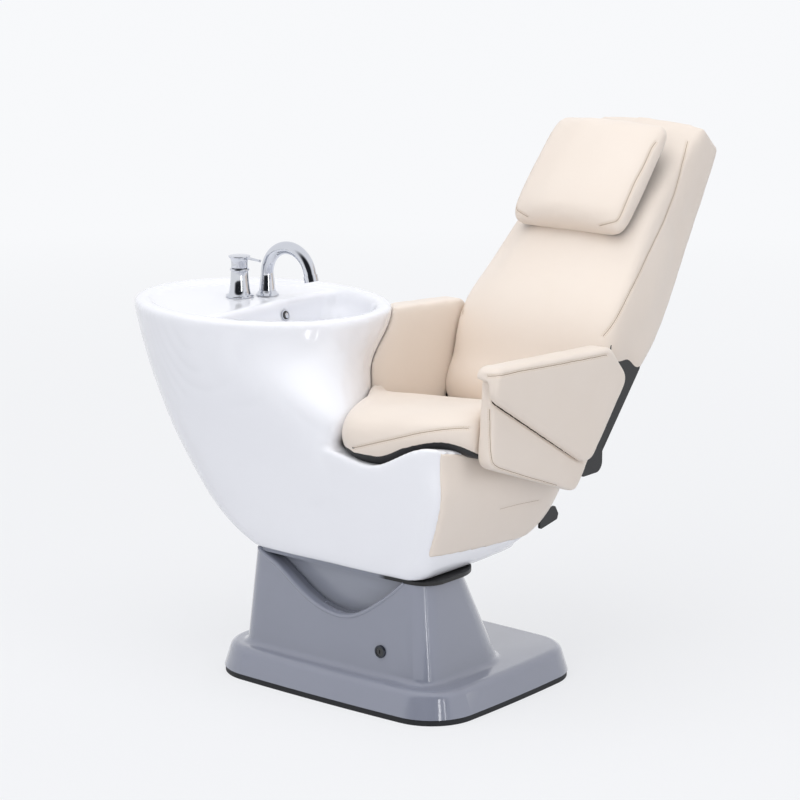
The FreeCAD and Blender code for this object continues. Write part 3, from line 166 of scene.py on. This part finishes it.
# The end of the room where the stand is has no lamps, so bright metal shows it as a dark streak.
facing = add(tree, "ShaderNodeTexCoord")
toward = add(tree, "ShaderNodeVectorMath", {
    0: (facing, "Generated"), 1: (0.50, -0.86, 0.08)}, operation="DOT_PRODUCT")
dim = add(tree, "ShaderNodeMapRange", {
    "Value": (toward, "Value"), "From Min": 0.50, "From Max": 0.84},
    interpolation_type="SMOOTHSTEP")
unlit = add(tree, "ShaderNodeMath", {
    0: (dim, 0), 1: (path, "Is Glossy Ray")}, operation="MULTIPLY")
shade = add(tree, "ShaderNodeBackground", {"Color": linear("#26282c"), "Strength": 1.0})
ends = add(tree, "ShaderNodeMixShader", {0: (unlit, 0), 1: (backdrop, 0), 2: (shade, 0)})
mixed = add(tree, "ShaderNodeMixShader", {0: (seen, 0), 1: (room, 0), 2: (ends, 0)})
add(tree, "ShaderNodeOutputWorld", {"Surface": (mixed, 0)})

# Only the two narrow strips show in reflections, as streaks on the gloss of the column.
for name, place, aim, width, height, power in (
        ("lamp_over", (-0.2, -0.6, 4.4), (0.0, 0.0, 0.5), 4.4, 4.4, 111.0),
        ("lamp_left", (-4.2, -2.0, 2.6), (0.0, 0.0, 0.6), 3.4, 3.4, 9.0),
        ("lamp_right", (4.4, 0.6, 2.6), (0.0, 0.1, 0.6), 3.0, 3.0, 36.0),
        ("lamp_front", (1.0, -4.6, 2.4), (0.0, 0.0, 0.6), 3.6, 2.4, 50.0),
        ("lamp_strip", (3.6, -2.3, 0.85), (0.1, -0.1, 0.6), 0.3, 1.5, 9.0),
        ("lamp_strip_low", (4.2, -1.7, 0.85), (0.1, -0.1, 0.6), 0.16, 1.5, 4.0),
        ("lamp_behind", (-1.0, 4.2, 3.0), (0.0, 0.0, 0.6), 3.2, 3.2, 32.0)):
    lamp = bpy.data.objects.new(name, bpy.data.lights.new(name, "AREA"))
    scene.collection.objects.link(lamp)
    lamp.data.shape = "RECTANGLE"
    lamp.data.size = width
    lamp.data.size_y = height
    lamp.data.energy = power
    lamp.visible_glossy = name.startswith("lamp_strip")
    lamp.visible_camera = False
    lamp.location = place
    lamp.rotation_euler = (Vector(aim) - Vector(place)).to_track_quat("-Z", "Y").to_euler()
scene.view_settings.view_transform = "Standard"

# Rubber strip under the foot
# An extruded black rubber profile round the lower edge of the cover, pressed on to keep water out.
# It is dull, with a fine mould skin and a little floor dust low down.
def finish(name, colour, roughness, bump, vary, metallic=0.0, coat=0.0):
    """A finish with fine relief (scale, strength, distance) and clouds of a second colour.

    The clouds are (scale, second colour, lowest roughness, highest roughness).
    """
    material, tree = empty_material(name)
    place = add(tree, "ShaderNodeTexCoord")
    shader = add(tree, "ShaderNodeBsdfPrincipled", {
        "Base Color": linear(colour), "Roughness": roughness, "Metallic": metallic,
        "Coat Weight": coat, "Coat Roughness": 0.05})
    scale, second, low, high = vary
    cloud = add(tree, "ShaderNodeTexNoise", {
        "Vector": (place, "Object"), "Scale": scale, "Detail": 4.0})
    tint = add(tree, "ShaderNodeMix", {
        0: (cloud, "Fac"), 6: linear(colour), 7: linear(second)}, data_type="RGBA")
    tree.links.new(tint.outputs[2], shader.inputs["Base Color"])
    rub = add(tree, "ShaderNodeMapRange", {"Value": (cloud, "Fac"), "To Min": low, "To Max": high})
    tree.links.new(rub.outputs[0], shader.inputs["Roughness"])
    scale, strength, distance = bump
    skin = add(tree, "ShaderNodeTexNoise", {
        "Vector": (place, "Object"), "Scale": scale, "Detail": 3.0})
    relief = add(tree, "ShaderNodeBump", {
        "Height": (skin, "Fac"), "Strength": strength, "Distance": distance})
    tree.links.new(relief.outputs[0], shader.inputs["Normal"])
    add(tree, "ShaderNodeOutputMaterial", {"Surface": (shader, 0)})
    return material


# Corners of neighbouring triangles that lie closer than this are one point.
same_point = 0.00002


def keep_edges(piece, degrees):
    """Shades the piece smooth and leaves the edges sharp that turn by more than the angle."""
    piece.data.shade_smooth()
    split = piece.modifiers.new("edges", "EDGE_SPLIT")
    split.split_angle = math.radians(degrees)


def dress(material, *names):
    """Gives CAD nodes a finish, with round faces shaded smooth and edges kept sharp."""
    for name in names:
        node = nodes[name]
        node.data.materials.clear()
        node.data.materials.append(material)
        weld = node.modifiers.new("weld", "WELD")
        weld.merge_threshold = same_point
        keep_edges(node, 26)


black_rubber = finish("black_rubber", "#17181a", 0.7,
                      bump=(900.0, 0.25, 0.0004), vary=(18.0, "#24262a", 0.62, 0.8))
dress(black_rubber, "floor_strip")

# Foot and column cover
# One grey gloss moulding, with a soft crown on the foot and a scoop in the column's front left
# corner. The skin is polished, with a very slight ripple from the mould.
gloss_grey = finish("gloss_grey_moulding", "#8b8f9d", 0.17, coat=1.0,
                    bump=(420.0, 0.02, 0.0002), vary=(5.0, "#858997", 0.14, 0.2))
dress(gloss_grey, "column_cover")
# The inner cover takes a lighter copy of the moulding's grey, painted light that lifts the shade in
# the scoop's recess.
inner_grey_lightened = finish("gloss_grey_inner_lightened", "#9ea2ae", 0.24, coat=0.3,
                    bump=(420.0, 0.02, 0.0002), vary=(5.0, "#9a9eaa", 0.2, 0.28))
dress(inner_grey_lightened, "inner_cover")

# Rolled lip of the scoop
# The edge of the scoop is turned in as a rounded lip of the same moulding, 37 mm deep.
# It stiffens the opening in front of the grey inner cover.
def as_piece(name, shape, material, body):
    """Makes a smooth piece of a bmesh, with normals outward, riding on a body."""
    bmesh.ops.recalc_face_normals(shape, faces=shape.faces)
    piece = as_object(name, shape, material)
    piece.data.shade_smooth()
    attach(piece, body)
    return piece


column_top = 0.2834
lip_depth = 0.0370
below_edge = 0.003
# Each pair is a place along X and how far the edge lies there under the top of the column.
scoop = [(-0.231, 0.0012), (-0.222, 0.0042), (-0.198, 0.0135), (-0.173, 0.0239), (-0.139, 0.0450),
         (-0.104, 0.0676), (-0.072, 0.0848), (-0.040, 0.0967), (-0.010, 0.1025), (0.020, 0.1040),
         (0.052, 0.0978), (0.082, 0.0832), (0.110, 0.0641), (0.138, 0.0437), (0.163, 0.0218),
         (0.185, 0.0010)]
cover = BVHTree.FromObject(nodes["column_cover"], bpy.context.evaluated_depsgraph_get())
edge = []
for place, drop in scoop:
    in_front = Vector((place, -1.0, column_top - drop - below_edge))
    skin = cover.ray_cast(in_front, Vector((0.0, 1.0, 0.0)))[0]
    edge.append(Vector((place, skin.y, column_top - drop)))
for cut in range(3):
    finer = [edge[0]]
    for here, there in zip(edge, edge[1:]):
        finer += [here.lerp(there, 0.25), here.lerp(there, 0.75)]
    edge = finer + [edge[-1]]
# The lip's section, as pairs of height over the edge and depth behind it.
lip_profile = [(-0.0034, 0.0016), (-0.0022, -0.0006), (0.0004, -0.0016), (0.0030, -0.0010),
               (0.0050, 0.0012), (0.0062, 0.0044), (0.0066, 0.0090), (0.0064, lip_depth),
               (-0.0028, lip_depth)]
lip = bmesh.new()
rings = []
for index, point in enumerate(edge):
    along = (edge[min(index + 1, len(edge) - 1)] - edge[max(index - 1, 0)]).normalized()
    inward = Vector((-along.z, 0.0, along.x)).normalized()
    rings.append([lip.verts.new(point + inward * up + Vector((0.0, deep, 0.0)))
                  for up, deep in lip_profile])
for one, two in zip(rings, rings[1:]):
    for corner in range(len(lip_profile)):
        after = (corner + 1) % len(lip_profile)
        lip.faces.new((one[corner], one[after], two[after], two[corner]))
lip.faces.new(rings[0])
lip.faces.new(reversed(rings[-1]))
as_piece("scoop_lip", lip, gloss_grey, "base")

# Steelwork in the foot and the lift
# Welded tubes and plates, bolts and ground rods in bright steel with fine rolling marks, most of
# them inside the cover. The plate under the body is black, with its left part in the cover's grey.
bare_steel = finish("bare_steel", "#a3a5a8", 0.34, metallic=1.0,
                    bump=(400.0, 0.12, 0.0005), vary=(60.0, "#8f9194", 0.28, 0.42))
dress(bare_steel, "base_plate", "floor_bolts", "guide_sleeves", "guide_rods", "lift_actuator",
      "lift_rod", "hinge_caps")
black_coat = finish("black_powder_coat", "#131416", 0.42,
                    bump=(1400.0, 0.35, 0.0003), vary=(30.0, "#1b1c1f", 0.38, 0.5))
dress(black_coat, "arm_brackets", "hinge_brackets", "back_frame", "headrest_plate")
plate_coat, tree = empty_material("plate_coat")
place = add(tree, "ShaderNodeTexCoord")
part = add(tree, "ShaderNodeSeparateXYZ", {"Vector": (place, "Object")})
beside = add(tree, "ShaderNodeMapRange", {
    "Value": (part, "X"), "From Min": 0.115, "From Max": 0.135})
pores = add(tree, "ShaderNodeTexNoise", {
    "Vector": (place, "Object"), "Scale": 1400.0, "Detail": 3.0})
coat = add(tree, "ShaderNodeMix", {
    0: (beside, 0), 6: linear("#8b8f9b"), 7: linear("#131416")}, data_type="RGBA")
relief = add(tree, "ShaderNodeBump", {
    "Height": (pores, "Fac"), "Strength": 0.3, "Distance": 0.0003})
shader = add(tree, "ShaderNodeBsdfPrincipled", {
    "Base Color": (coat, 2), "Roughness": 0.4, "Normal": (relief, 0)})
add(tree, "ShaderNodeOutputMaterial", {"Surface": (shader, 0)})
dress(plate_coat, "mounting_plate")

# Cam lock in the column
# A die-cast bezel in black chrome, a black plug with a keyway, and a flat steel cam behind them.
# The plug is worn a little glossier where keys have rubbed it.
lock_black = finish("lock_black", "#0d0e10", 0.25, coat=0.4,
                    bump=(700.0, 0.1, 0.0003), vary=(40.0, "#1a1b1e", 0.2, 0.34))
dress(lock_black, "lock_barrel")
black_chrome = finish("black_chrome", "#4a4d53", 0.14, metallic=1.0,
                      bump=(300.0, 0.03, 0.0002), vary=(40.0, "#3f4248", 0.1, 0.2))
dress(black_chrome, "lock_bezel")
dress(bare_steel, "lock_cam")

# Drain and fittings under the basin
# Turned and plated brass at the drain and overflow, black moulded trap and pipe below.
# Chrome is thick and bright with only faint wipe marks. The recline lever is moulded like the trap.
chrome = finish("chrome_plate", "#d9dbe0", 0.05, metallic=1.0,
                bump=(9.0, 0.03, 0.001), vary=(25.0, "#cfd2d8", 0.03, 0.09))
dress(chrome, "drain_flange", "drain_strainer", "overflow_ring")
black_moulded = finish("black_moulded", "#1a1b1d", 0.45,
                       bump=(800.0, 0.2, 0.0003), vary=(30.0, "#222326", 0.4, 0.52))
dress(black_moulded, "bottle_trap", "waste_pipe", "release_lever")

# Tap
# Cast and plated brass: a swan neck with an aerator, and a bell-shaped mixer handle beside it.
# Nuts and tails hold both through the basin's rear deck.
dress(chrome, "spout_base", "spout", "spout_nut", "aerator", "tap_valve", "valve_nut",
      "tap_handle", "tap_lever")

# Bell and cap of the tap
# Turned and plated brass round the valve: a flared bell with a collar, and a flat cap with a lever.
# The bell stands on the deck and the cap turns on the valve's stem.
def turned(name, axis, profile, body, steps=64):
    """A turned chrome piece from (radius, height) pairs in millimetres round an upright axis."""
    shape = bmesh.new()
    rings = []
    for radius, height in profile:
        rings.append([shape.verts.new((
            axis[0] + radius / 1000 * math.cos(2 * math.pi * step / steps),
            axis[1] + radius / 1000 * math.sin(2 * math.pi * step / steps),
            axis[2] + height / 1000)) for step in range(steps)])
    for one, two in zip(rings, rings[1:]):
        for step in range(steps):
            after = (step + 1) % steps
            shape.faces.new((one[step], one[after], two[after], two[step]))
    shape.faces.new(rings[0])
    shape.faces.new(reversed(rings[-1]))
    piece = as_piece(name, shape, chrome, body)
    keep_edges(piece, 40)
    return piece


handle_over_deck = 0.062
deck_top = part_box("tap_handle")[0].z - handle_over_deck
tap_axis = Vector((-0.474, 0.022, deck_top))
turned("tap_bell", tap_axis, [
    (20, 0.1), (31, 0.1), (32, 1.5), (32, 3.5), (30.5, 5.5), (27, 6.5), (25.5, 8), (23.8, 16),
    (22.2, 28), (20.8, 42), (20.0, 56), (20.2, 60), (22.2, 61.5), (22.6, 63.5), (21.6, 65.5),
    (17, 66.5)], "lift")
cap = turned("tap_cap", tap_axis, [
    (15, 67.2), (18.6, 67.2), (19.2, 68.5), (19.0, 76), (19.6, 84), (21.6, 89), (24.4, 91.5),
    (25.2, 93), (24.8, 94.4), (22, 95), (4, 95.4)], "handle")
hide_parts("tap_handle")
lever = bmesh.new()
lever_middle = Matrix.Translation(tap_axis + Vector((0.042, 0.0, 0.0905)))
lever_tip = Matrix.Translation(tap_axis + Vector((0.062, 0.0, 0.0891)))
bmesh.ops.create_cone(lever, cap_ends=True, segments=24, radius1=0.0032, radius2=0.0026,
                      depth=0.040, matrix=lever_middle @ Matrix.Rotation(math.radians(94), 4, "Y"))
bmesh.ops.create_uvsphere(lever, u_segments=20, v_segments=12, radius=0.0034, matrix=lever_tip)
lever = as_piece("tap_cap_lever", lever, chrome, "handle")
keep_edges(lever, 40)
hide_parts("tap_lever")

# Overflow mouth
# The overflow in the bowl's deck side: a black disc in the plated ring as painted shade for the
# dark hole, with a domed plug set in it.
# Both lie just before the ring's inner face and are pressed in with it.
ring = BVHTree.FromObject(nodes["overflow_ring"], bpy.context.evaluated_depsgraph_get())
in_bowl = Vector((-0.2, 0.05, 0.7635))
face, outward = ring.ray_cast(in_bowl, Vector((-1.0, 0.0, 0.0)))[:2]
level = Vector((0.0, 1.0, 0.0))
upward = outward.cross(level).normalized()
face_to_middle = 0.0099
middle = face - upward * face_to_middle
turn = Matrix((level, upward, outward)).transposed().to_4x4()
in_front = outward * 0.0003
# The black disc is painted shade for the inside of the overflow hole.
for name, beside, above, size, material, slot in (
        ("overflow_hole_shade", 0.0, 0.0, (0.0098, 0.0098, 0.0003), lock_black, "black_plastic"),
        ("overflow_plug", 0.0028, -0.0012, (0.0056, 0.0066, 0.0012), chrome, "chrome")):
    dome = bmesh.new()
    place = Matrix.Translation(middle + level * beside + upward * above + in_front)
    bmesh.ops.create_uvsphere(dome, u_segments=40, v_segments=20, radius=1.0,
                              matrix=place @ turn @ Matrix.Diagonal((*size, 1.0)))
    as_piece(name, dome, material, "lift")

# White body and basin
# Thick white mouldings: the tub with its saddle and seat hull, and the basin with its rim and deck.
# The joint under the rim is filled and polished, so both are remeshed as one skin.
def welded_copy(name, *sources):
    """A copy of the meshes of CAD nodes, with their loose triangles merged, as one object."""
    shape = bmesh.new()
    for source in sources:
        shape.from_mesh(nodes[source].data)
    bmesh.ops.remove_doubles(shape, verts=shape.verts, dist=same_point)
    mesh = bpy.data.meshes.new(name)
    shape.to_mesh(mesh)
    shape.free()
    mesh.materials.clear()
    piece = bpy.data.objects.new(name, mesh)
    scene.collection.objects.link(piece)
    return piece


def bake(piece):
    """Applies the piece's modifiers to its mesh."""
    bpy.context.view_layer.update()
    result = piece.evaluated_get(bpy.context.evaluated_depsgraph_get())
    mesh = bpy.data.meshes.new_from_object(result)
    piece.modifiers.clear()
    old = piece.data
    piece.data = mesh
    bpy.data.meshes.remove(old)
    mesh.name = piece.name
    return piece


def even(piece, voxel, rounds):
    """Remeshes the piece in even quads and smooths it a little."""
    remesh = piece.modifiers.new("even", "REMESH")
    remesh.mode = "VOXEL"
    remesh.voxel_size = voxel
    remesh.use_smooth_shade = True
    soft = piece.modifiers.new("soft", "SMOOTH")
    soft.factor = 0.5
    soft.iterations = rounds
    return bake(piece)


tub_axis_x = -0.337
tub_axis_y = -0.013
tub_end_x = -0.09
tub_hidden_top = 0.60
facing_up = 0.12
facing_level = -0.3
facing_axis = 0.06


def on_inner_side(vert):
    """True for the hidden side of the tub's shell, which faces up or toward the tub's axis."""
    if vert.co.x >= tub_end_x or vert.co.z >= tub_hidden_top:
        return False
    toward_axis = (vert.normal.x * (tub_axis_x - vert.co.x)
                   + vert.normal.y * (tub_axis_y - vert.co.y))
    return (vert.normal.z > facing_up
            or (vert.normal.z > facing_level and toward_axis > facing_axis))


white_gloss = finish("white_gelcoat", "#f2f3f7", 0.13, coat=0.5,
                     bump=(380.0, 0.015, 0.0002), vary=(3.0, "#f0f1f6", 0.11, 0.16))
white_body = welded_copy("white_body", "body_shell", "basin")
# The shell is too thin there for the remesh, so its inner side is moved in first.
extra_wall = 0.006
face_limit = 97000
inside = [(vert, vert.normal.copy()) for vert in white_body.data.vertices if on_inner_side(vert)]
for vert, normal in inside:
    vert.co += normal * extra_wall
even(white_body, voxel=0.0058, rounds=12)
if len(white_body.data.polygons) > face_limit:
    thin = white_body.modifiers.new("thin", "DECIMATE")
    thin.ratio = face_limit / len(white_body.data.polygons)
    bake(white_body)
white_body.data.shade_smooth()
white_body.data.materials.append(white_gloss)
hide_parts("body_shell", "basin")
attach(white_body, "lift")

# Seat cushion
# Moulded foam under cream leathercloth: a wide seat that rises to a rounded nose at the saddle.
# The cover is drawn tight, so it only crowns a little between its seams.
def leathercloth(name, colour, deeper):
    """Coated fabric with a pebbled grain, soft stretch folds and a low satin shine."""
    material, tree = empty_material(name)
    place = add(tree, "ShaderNodeTexCoord")
    cloud = add(tree, "ShaderNodeTexNoise", {
        "Vector": (place, "Object"), "Scale": 6.0, "Detail": 5.0})
    tint = add(tree, "ShaderNodeMix", {
        0: (cloud, "Fac"), 6: linear(colour), 7: linear(deeper)}, data_type="RGBA")
    pebble = add(tree, "ShaderNodeTexVoronoi", {
        "Vector": (place, "Object"), "Scale": 620.0}, feature="SMOOTH_F1")
    folds = add(tree, "ShaderNodeTexNoise", {
        "Vector": (place, "Object"), "Scale": 26.0, "Detail": 2.0})
    pores = add(tree, "ShaderNodeTexNoise", {
        "Vector": (place, "Object"), "Scale": 1500.0, "Detail": 2.0})
    rub = add(tree, "ShaderNodeMapRange", {"Value": (cloud, "Fac"), "To Min": 0.36, "To Max": 0.5})
    low = add(tree, "ShaderNodeBump", {
        "Height": (folds, "Fac"), "Strength": 0.14, "Distance": 0.004})
    mid = add(tree, "ShaderNodeBump", {
        "Height": (pebble, "Distance"), "Strength": 0.22, "Distance": 0.0005, "Normal": (low, 0)})
    top = add(tree, "ShaderNodeBump", {
        "Height": (pores, "Fac"), "Strength": 0.12, "Distance": 0.0002, "Normal": (mid, 0)})
    shader = add(tree, "ShaderNodeBsdfPrincipled", {
        "Base Color": (tint, 2), "Roughness": (rub, 0), "Normal": (top, 0), "Coat Weight": 0.2,
        "Coat Roughness": 0.35, "Sheen Weight": 0.05})
    add(tree, "ShaderNodeOutputMaterial", {"Surface": (shader, 0)})
    return material


def blown_up(piece, start, normals, limit):
    """How far air pressure lifts each point of the piece as cloth, limited and spread smoothly."""
    last_frame = 20
    spread_rounds = 24
    cloth = piece.modifiers.new("cover", "CLOTH")
    cloth.settings.use_pressure = True
    cloth.settings.uniform_pressure_force = 4.0
    cloth.settings.effector_weights.gravity = 0.0
    cloth.settings.quality = 4
    cloth.collision_settings.use_collision = False
    cloth.point_cache.frame_start = 1
    cloth.point_cache.frame_end = last_frame
    for step in range(1, last_frame + 1):
        scene.frame_set(step)
    bake(piece)
    scene.frame_set(1)
    blown = np.empty(start.size)
    piece.data.vertices.foreach_get("co", blown)
    lift = np.clip(((blown.reshape(-1, 3) - start) * normals).sum(axis=1), 0.0, limit)
    ends = np.empty(len(piece.data.edges) * 2, dtype=np.int32)
    piece.data.edges.foreach_get("vertices", ends)
    one, two = ends[0::2], ends[1::2]
    count = len(start)
    ties = np.bincount(ends, minlength=count)
    for spread in range(spread_rounds):
        around = np.bincount(one, lift[two], count) + np.bincount(two, lift[one], count)
        lift = (lift + around / ties) / 2
    return lift


def plump(name, sources, voxel, rise, grow=0.0):
    """A cushion from its CAD solids: evened, lifted as cloth by up to the rise, then made finer."""
    piece = even(welded_copy(name, *sources), voxel, rounds=7)
    count = len(piece.data.vertices)
    start = np.empty(count * 3)
    normals = np.empty(count * 3)
    piece.data.vertices.foreach_get("co", start)
    piece.data.vertex_normals.foreach_get("vector", normals)
    start, normals = start.reshape(-1, 3), normals.reshape(-1, 3)
    lift = blown_up(piece, start, normals, rise)
    piece.data.vertices.foreach_set("co", (start + normals * (lift + grow)[:, None]).ravel())
    piece.data.update()
    finer = piece.modifiers.new("finer", "SUBSURF")
    finer.levels = 1
    finer.render_levels = 1
    bake(piece)
    piece.data.shade_smooth()
    piece.data.materials.append(cream_leather)
    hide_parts(*sources)
    return piece


def skin_of(piece):
    """The piece's surface as a tree for nearest points and rays."""
    return BVHTree.FromObject(piece, bpy.context.evaluated_depsgraph_get())


def laid_on(piece, marks):
    """The marks moved along the line from the stand onto the cover."""
    cover = skin_of(piece)
    laid = []
    for mark in marks:
        toward = (Vector(mark) - camera.location).normalized()
        hit = cover.ray_cast(camera.location, toward)[0]
        laid.append(hit or cover.find_nearest(Vector(mark))[0])
    return laid


seat_middle = 0.1


def mirrored(marks):
    """The marks on the other side of the seat's middle."""
    return [Vector((2 * seat_middle - mark.x, mark.y, mark.z)) for mark in marks]


def seam_path(piece, marks, pitch):
    """Points along the cover through the marks, even in pitch, with the cover's normals."""
    cover = skin_of(piece)
    line = []
    for here, there in zip(marks, marks[1:]):
        steps = max(1, round((there - here).length / pitch))
        line.extend(here.lerp(there, step / steps) for step in range(steps))
    line.append(marks[-1])
    for smoothing in range(16):
        inner = [(a + b * 2 + c) / 4 for a, b, c in zip(line, line[1:], line[2:])]
        line = [line[0]] + inner + [line[-1]]
    return [cover.find_nearest(point)[:2] for point in line]


def sew(piece, name, marks, rows=(-0.0036, 0.0036), depth=0.0018, width=0.0034, shade_half_width=0.0006,
        look=None):
    """Presses a seam into the cover along the marks, with rows of thread beside it and a dark
    ribbon along it that is painted shade for the seam's groove.
    """
    pitch = 0.0052
    stitch_size = Matrix.Diagonal((pitch * 0.36, 0.00055, 0.00050, 1.0))
    stitch_lift = 0.0001
    shade_lift = 0.00035
    line = seam_path(piece, marks, pitch / 2)
    near = KDTree(len(line))
    for index, (place, normal) in enumerate(line):
        near.insert(place, index)
    near.balance()
    normals = [normal.vector.copy() for normal in piece.data.vertex_normals]
    for vert, normal in zip(piece.data.vertices, normals):
        distance = near.find(vert.co)[2]
        if distance < width * 3:
            vert.co -= normal * depth * math.exp(-(distance / width) ** 2)
    piece.data.update()
    cover = skin_of(piece)
    threads = bmesh.new()
    ribbon = bmesh.new()
    last = None
    for index in range(1, len(line) - 1):
        along = (line[index + 1][0] - line[index - 1][0]).normalized()
        place, normal = cover.find_nearest(line[index][0])[:2]
        side = along.cross(normal).normalized()
        # The ribbon laid along the seam is painted shade for the dark of its groove.
        pair = [ribbon.verts.new(place + side * half + normal * shade_lift)
                for half in (-shade_half_width, shade_half_width)]
        if last:
            ribbon.faces.new((last[0], last[1], pair[1], pair[0]))
        last = pair
        for shift in rows if index % 2 else ():
            place, normal = cover.find_nearest(line[index][0] + side * shift)[:2]
            turn = Matrix((along, side, normal)).transposed().to_4x4()
            lifted = Matrix.Translation(place + normal * stitch_lift)
            bmesh.ops.create_icosphere(threads, subdivisions=1, radius=1.0,
                                       matrix=lifted @ turn @ stitch_size)
    body = body_of(piece)[0]
    as_piece(name + "_painted_shade", ribbon, look or seam_shade, body)
    if rows:
        as_piece(name + "_stitches", threads, thread, body)
    else:
        threads.free()


def shade_liner(piece, name, shift, size):
    """A black sheet behind a cushion as painted shade for the dark gap round it: its own shape
    drawn in and pushed back, so its rim shows.
    """
    shape = bmesh.new()
    shape.from_mesh(piece.data)
    middle = sum((Vector(corner) for corner in piece.bound_box), Vector()) / 8
    for vert in shape.verts:
        vert.co = middle + (vert.co - middle) * size + Vector(shift)
    return as_piece(name, shape, black_moulded, body_of(piece)[0])


# The ribbon's colour is painted shade: the dark of a seam's groove laid on as a strip.
seam_shade = finish("painted_seam_shade", "#a58b6c", 0.75,
              bump=(900.0, 0.2, 0.0003), vary=(90.0, "#977d5e", 0.7, 0.85))
shadow_gap = finish("shadow_gap", "#3b2f25", 0.9,
                    bump=(900.0, 0.2, 0.0003), vary=(90.0, "#33281f", 0.85, 0.95))
thread = finish("cream_thread", "#d9c8b2", 0.6,
                bump=(2600.0, 0.3, 0.0002), vary=(200.0, "#cfbca3", 0.55, 0.7))
cream_leather = leathercloth("cream_leathercloth", "#ece1d6", "#e7dacd")
seat = plump("seat_cushion_cover", ["seat_cushion"], voxel=0.007, rise=0.005)
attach(seat, "lift")
sew(seat, "seat_seam", laid_on(seat, [
    (0.200, -0.387, 0.616), (0.200, -0.356, 0.614), (0.200, -0.282, 0.611), (0.200, -0.216, 0.608),
    (0.200, -0.166, 0.606), (0.200, -0.098, 0.600), (0.200, -0.043, 0.593), (0.200, 0.006, 0.584)]))
# A black sheet under the cushion's rim is painted shade for the gap between the seat and the hull.
shade_liner(seat, "seat_shade_liner", shift=(0.0, -0.002, -0.008), size=0.98)

# Skirt of the seat
# A thin padded leathercloth panel glued into the recess of the hull, round its sides and rear.
# A soft groove runs along the lower edge of the panel behind the seat hull, with a dark ribbon in
# it as painted shade.
skirt = even(welded_copy("skirt_cover", "seat_skirt"), voxel=0.004, rounds=3)
skirt.data.materials.append(cream_leather)
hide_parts("seat_skirt")
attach(skirt, "lift")
near_fold = [Vector(mark) for mark in (
    (0.279, 0.008, 0.417), (0.277, 0.083, 0.413), (0.275, 0.160, 0.405))]
# The ribbon along this groove is painted shade.
sew(skirt, "skirt_fold", near_fold, rows=(), depth=0.0012, width=0.007, shade_half_width=0.0003)

# Armrests
# A flat upholstered panel with a thicker sewn pad outside it, closed by a seam on top.
# The far armrest's panel and pad are covered in one, since only its inner side is seen.
arm_panel = plump("arm_panel_cover_right", ["arm_panel_right"], voxel=0.006, rise=0.002)
arm_pad = plump("arm_pad_cover_right", ["arm_pad_right"], voxel=0.006, rise=0.005)
far_arm = plump("arm_cover_left", ["arm_panel_left", "arm_pad_left"], voxel=0.006, rise=0.004,
                grow=0.0015)
for piece in (arm_panel, arm_pad, far_arm):
    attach(piece, "lift")
sew(arm_pad, "arm_pad_seam", laid_on(arm_pad, [
    (0.370, -0.163, 0.751), (0.370, -0.127, 0.744), (0.370, -0.047, 0.741), (0.370, 0.095, 0.732),
    (0.370, 0.273, 0.723)]))
sew(arm_panel, "arm_panel_seam", laid_on(arm_panel, [
    (0.353, -0.129, 0.675), (0.353, -0.128, 0.650), (0.353, -0.124, 0.585), (0.353, -0.117, 0.556),
    (0.353, -0.097, 0.542), (0.353, 0.016, 0.497), (0.353, 0.117, 0.459)]), rows=(0.0036,))
pad_edge = [Vector(mark) for mark in (
    (0.353, -0.148, 0.729), (0.353, -0.130, 0.703), (0.353, -0.116, 0.683), (0.353, -0.022, 0.627),
    (0.353, 0.086, 0.563), (0.353, 0.179, 0.509), (0.353, 0.205, 0.497))]
sew(arm_panel, "arm_pad_shadow", pad_edge, rows=(), depth=0.003, width=0.004, shade_half_width=0.0016,
    look=shadow_gap)

# Back
# A moulded ply board carries the back cushion, upholstered in the same leathercloth.
# A sewn seam runs down each side of its front, from the headrest to the seat.
ply = finish("birch_ply", "#c9a878", 0.5,
             bump=(120.0, 0.2, 0.0005), vary=(14.0, "#b99563", 0.45, 0.6))
dress(ply, "back_board")
back = plump("back_cushion_cover", ["back_cushion"], voxel=0.0078, rise=0.008,
             grow=0.003)
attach(back, "backrest")
right_edge = laid_on(back, [
    (0.290, 0.365, 0.737), (0.290, 0.403, 0.757), (0.290, 0.456, 0.807), (0.290, 0.506, 0.859),
    (0.290, 0.550, 0.909), (0.290, 0.605, 0.969), (0.290, 0.645, 1.028), (0.290, 0.671, 1.089),
    (0.290, 0.692, 1.139)])
sew(back, "back_seam_right", right_edge)
sew(back, "back_seam_left", mirrored(right_edge))

# Headrest
# A soft rectangular pillow in the same leathercloth, with a black sheet behind it as painted shade
# for the gap to the back.
# It is screwed to a steel plate that slides on the back.
head = plump("headrest_cover", ["headrest_pad"], voxel=0.006, rise=0.006, grow=0.003)
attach(head, "headrest")
right_edge = laid_on(head, [
    (0.240, 0.641, 1.138), (0.240, 0.620, 1.126), (0.240, 0.595, 1.093), (0.240, 0.551, 1.050),
    (0.240, 0.509, 0.995), (0.240, 0.491, 0.974), (0.240, 0.415, 0.973)])
sew(head, "headrest_seam_right", right_edge)
sew(head, "headrest_seam_left", mirrored(right_edge))
# A black sheet behind the pillow is painted shade for the gap between it and the back.
shade_liner(head, "headrest_shade_liner", shift=(0.0, 0.0045, -0.0040), size=0.975)
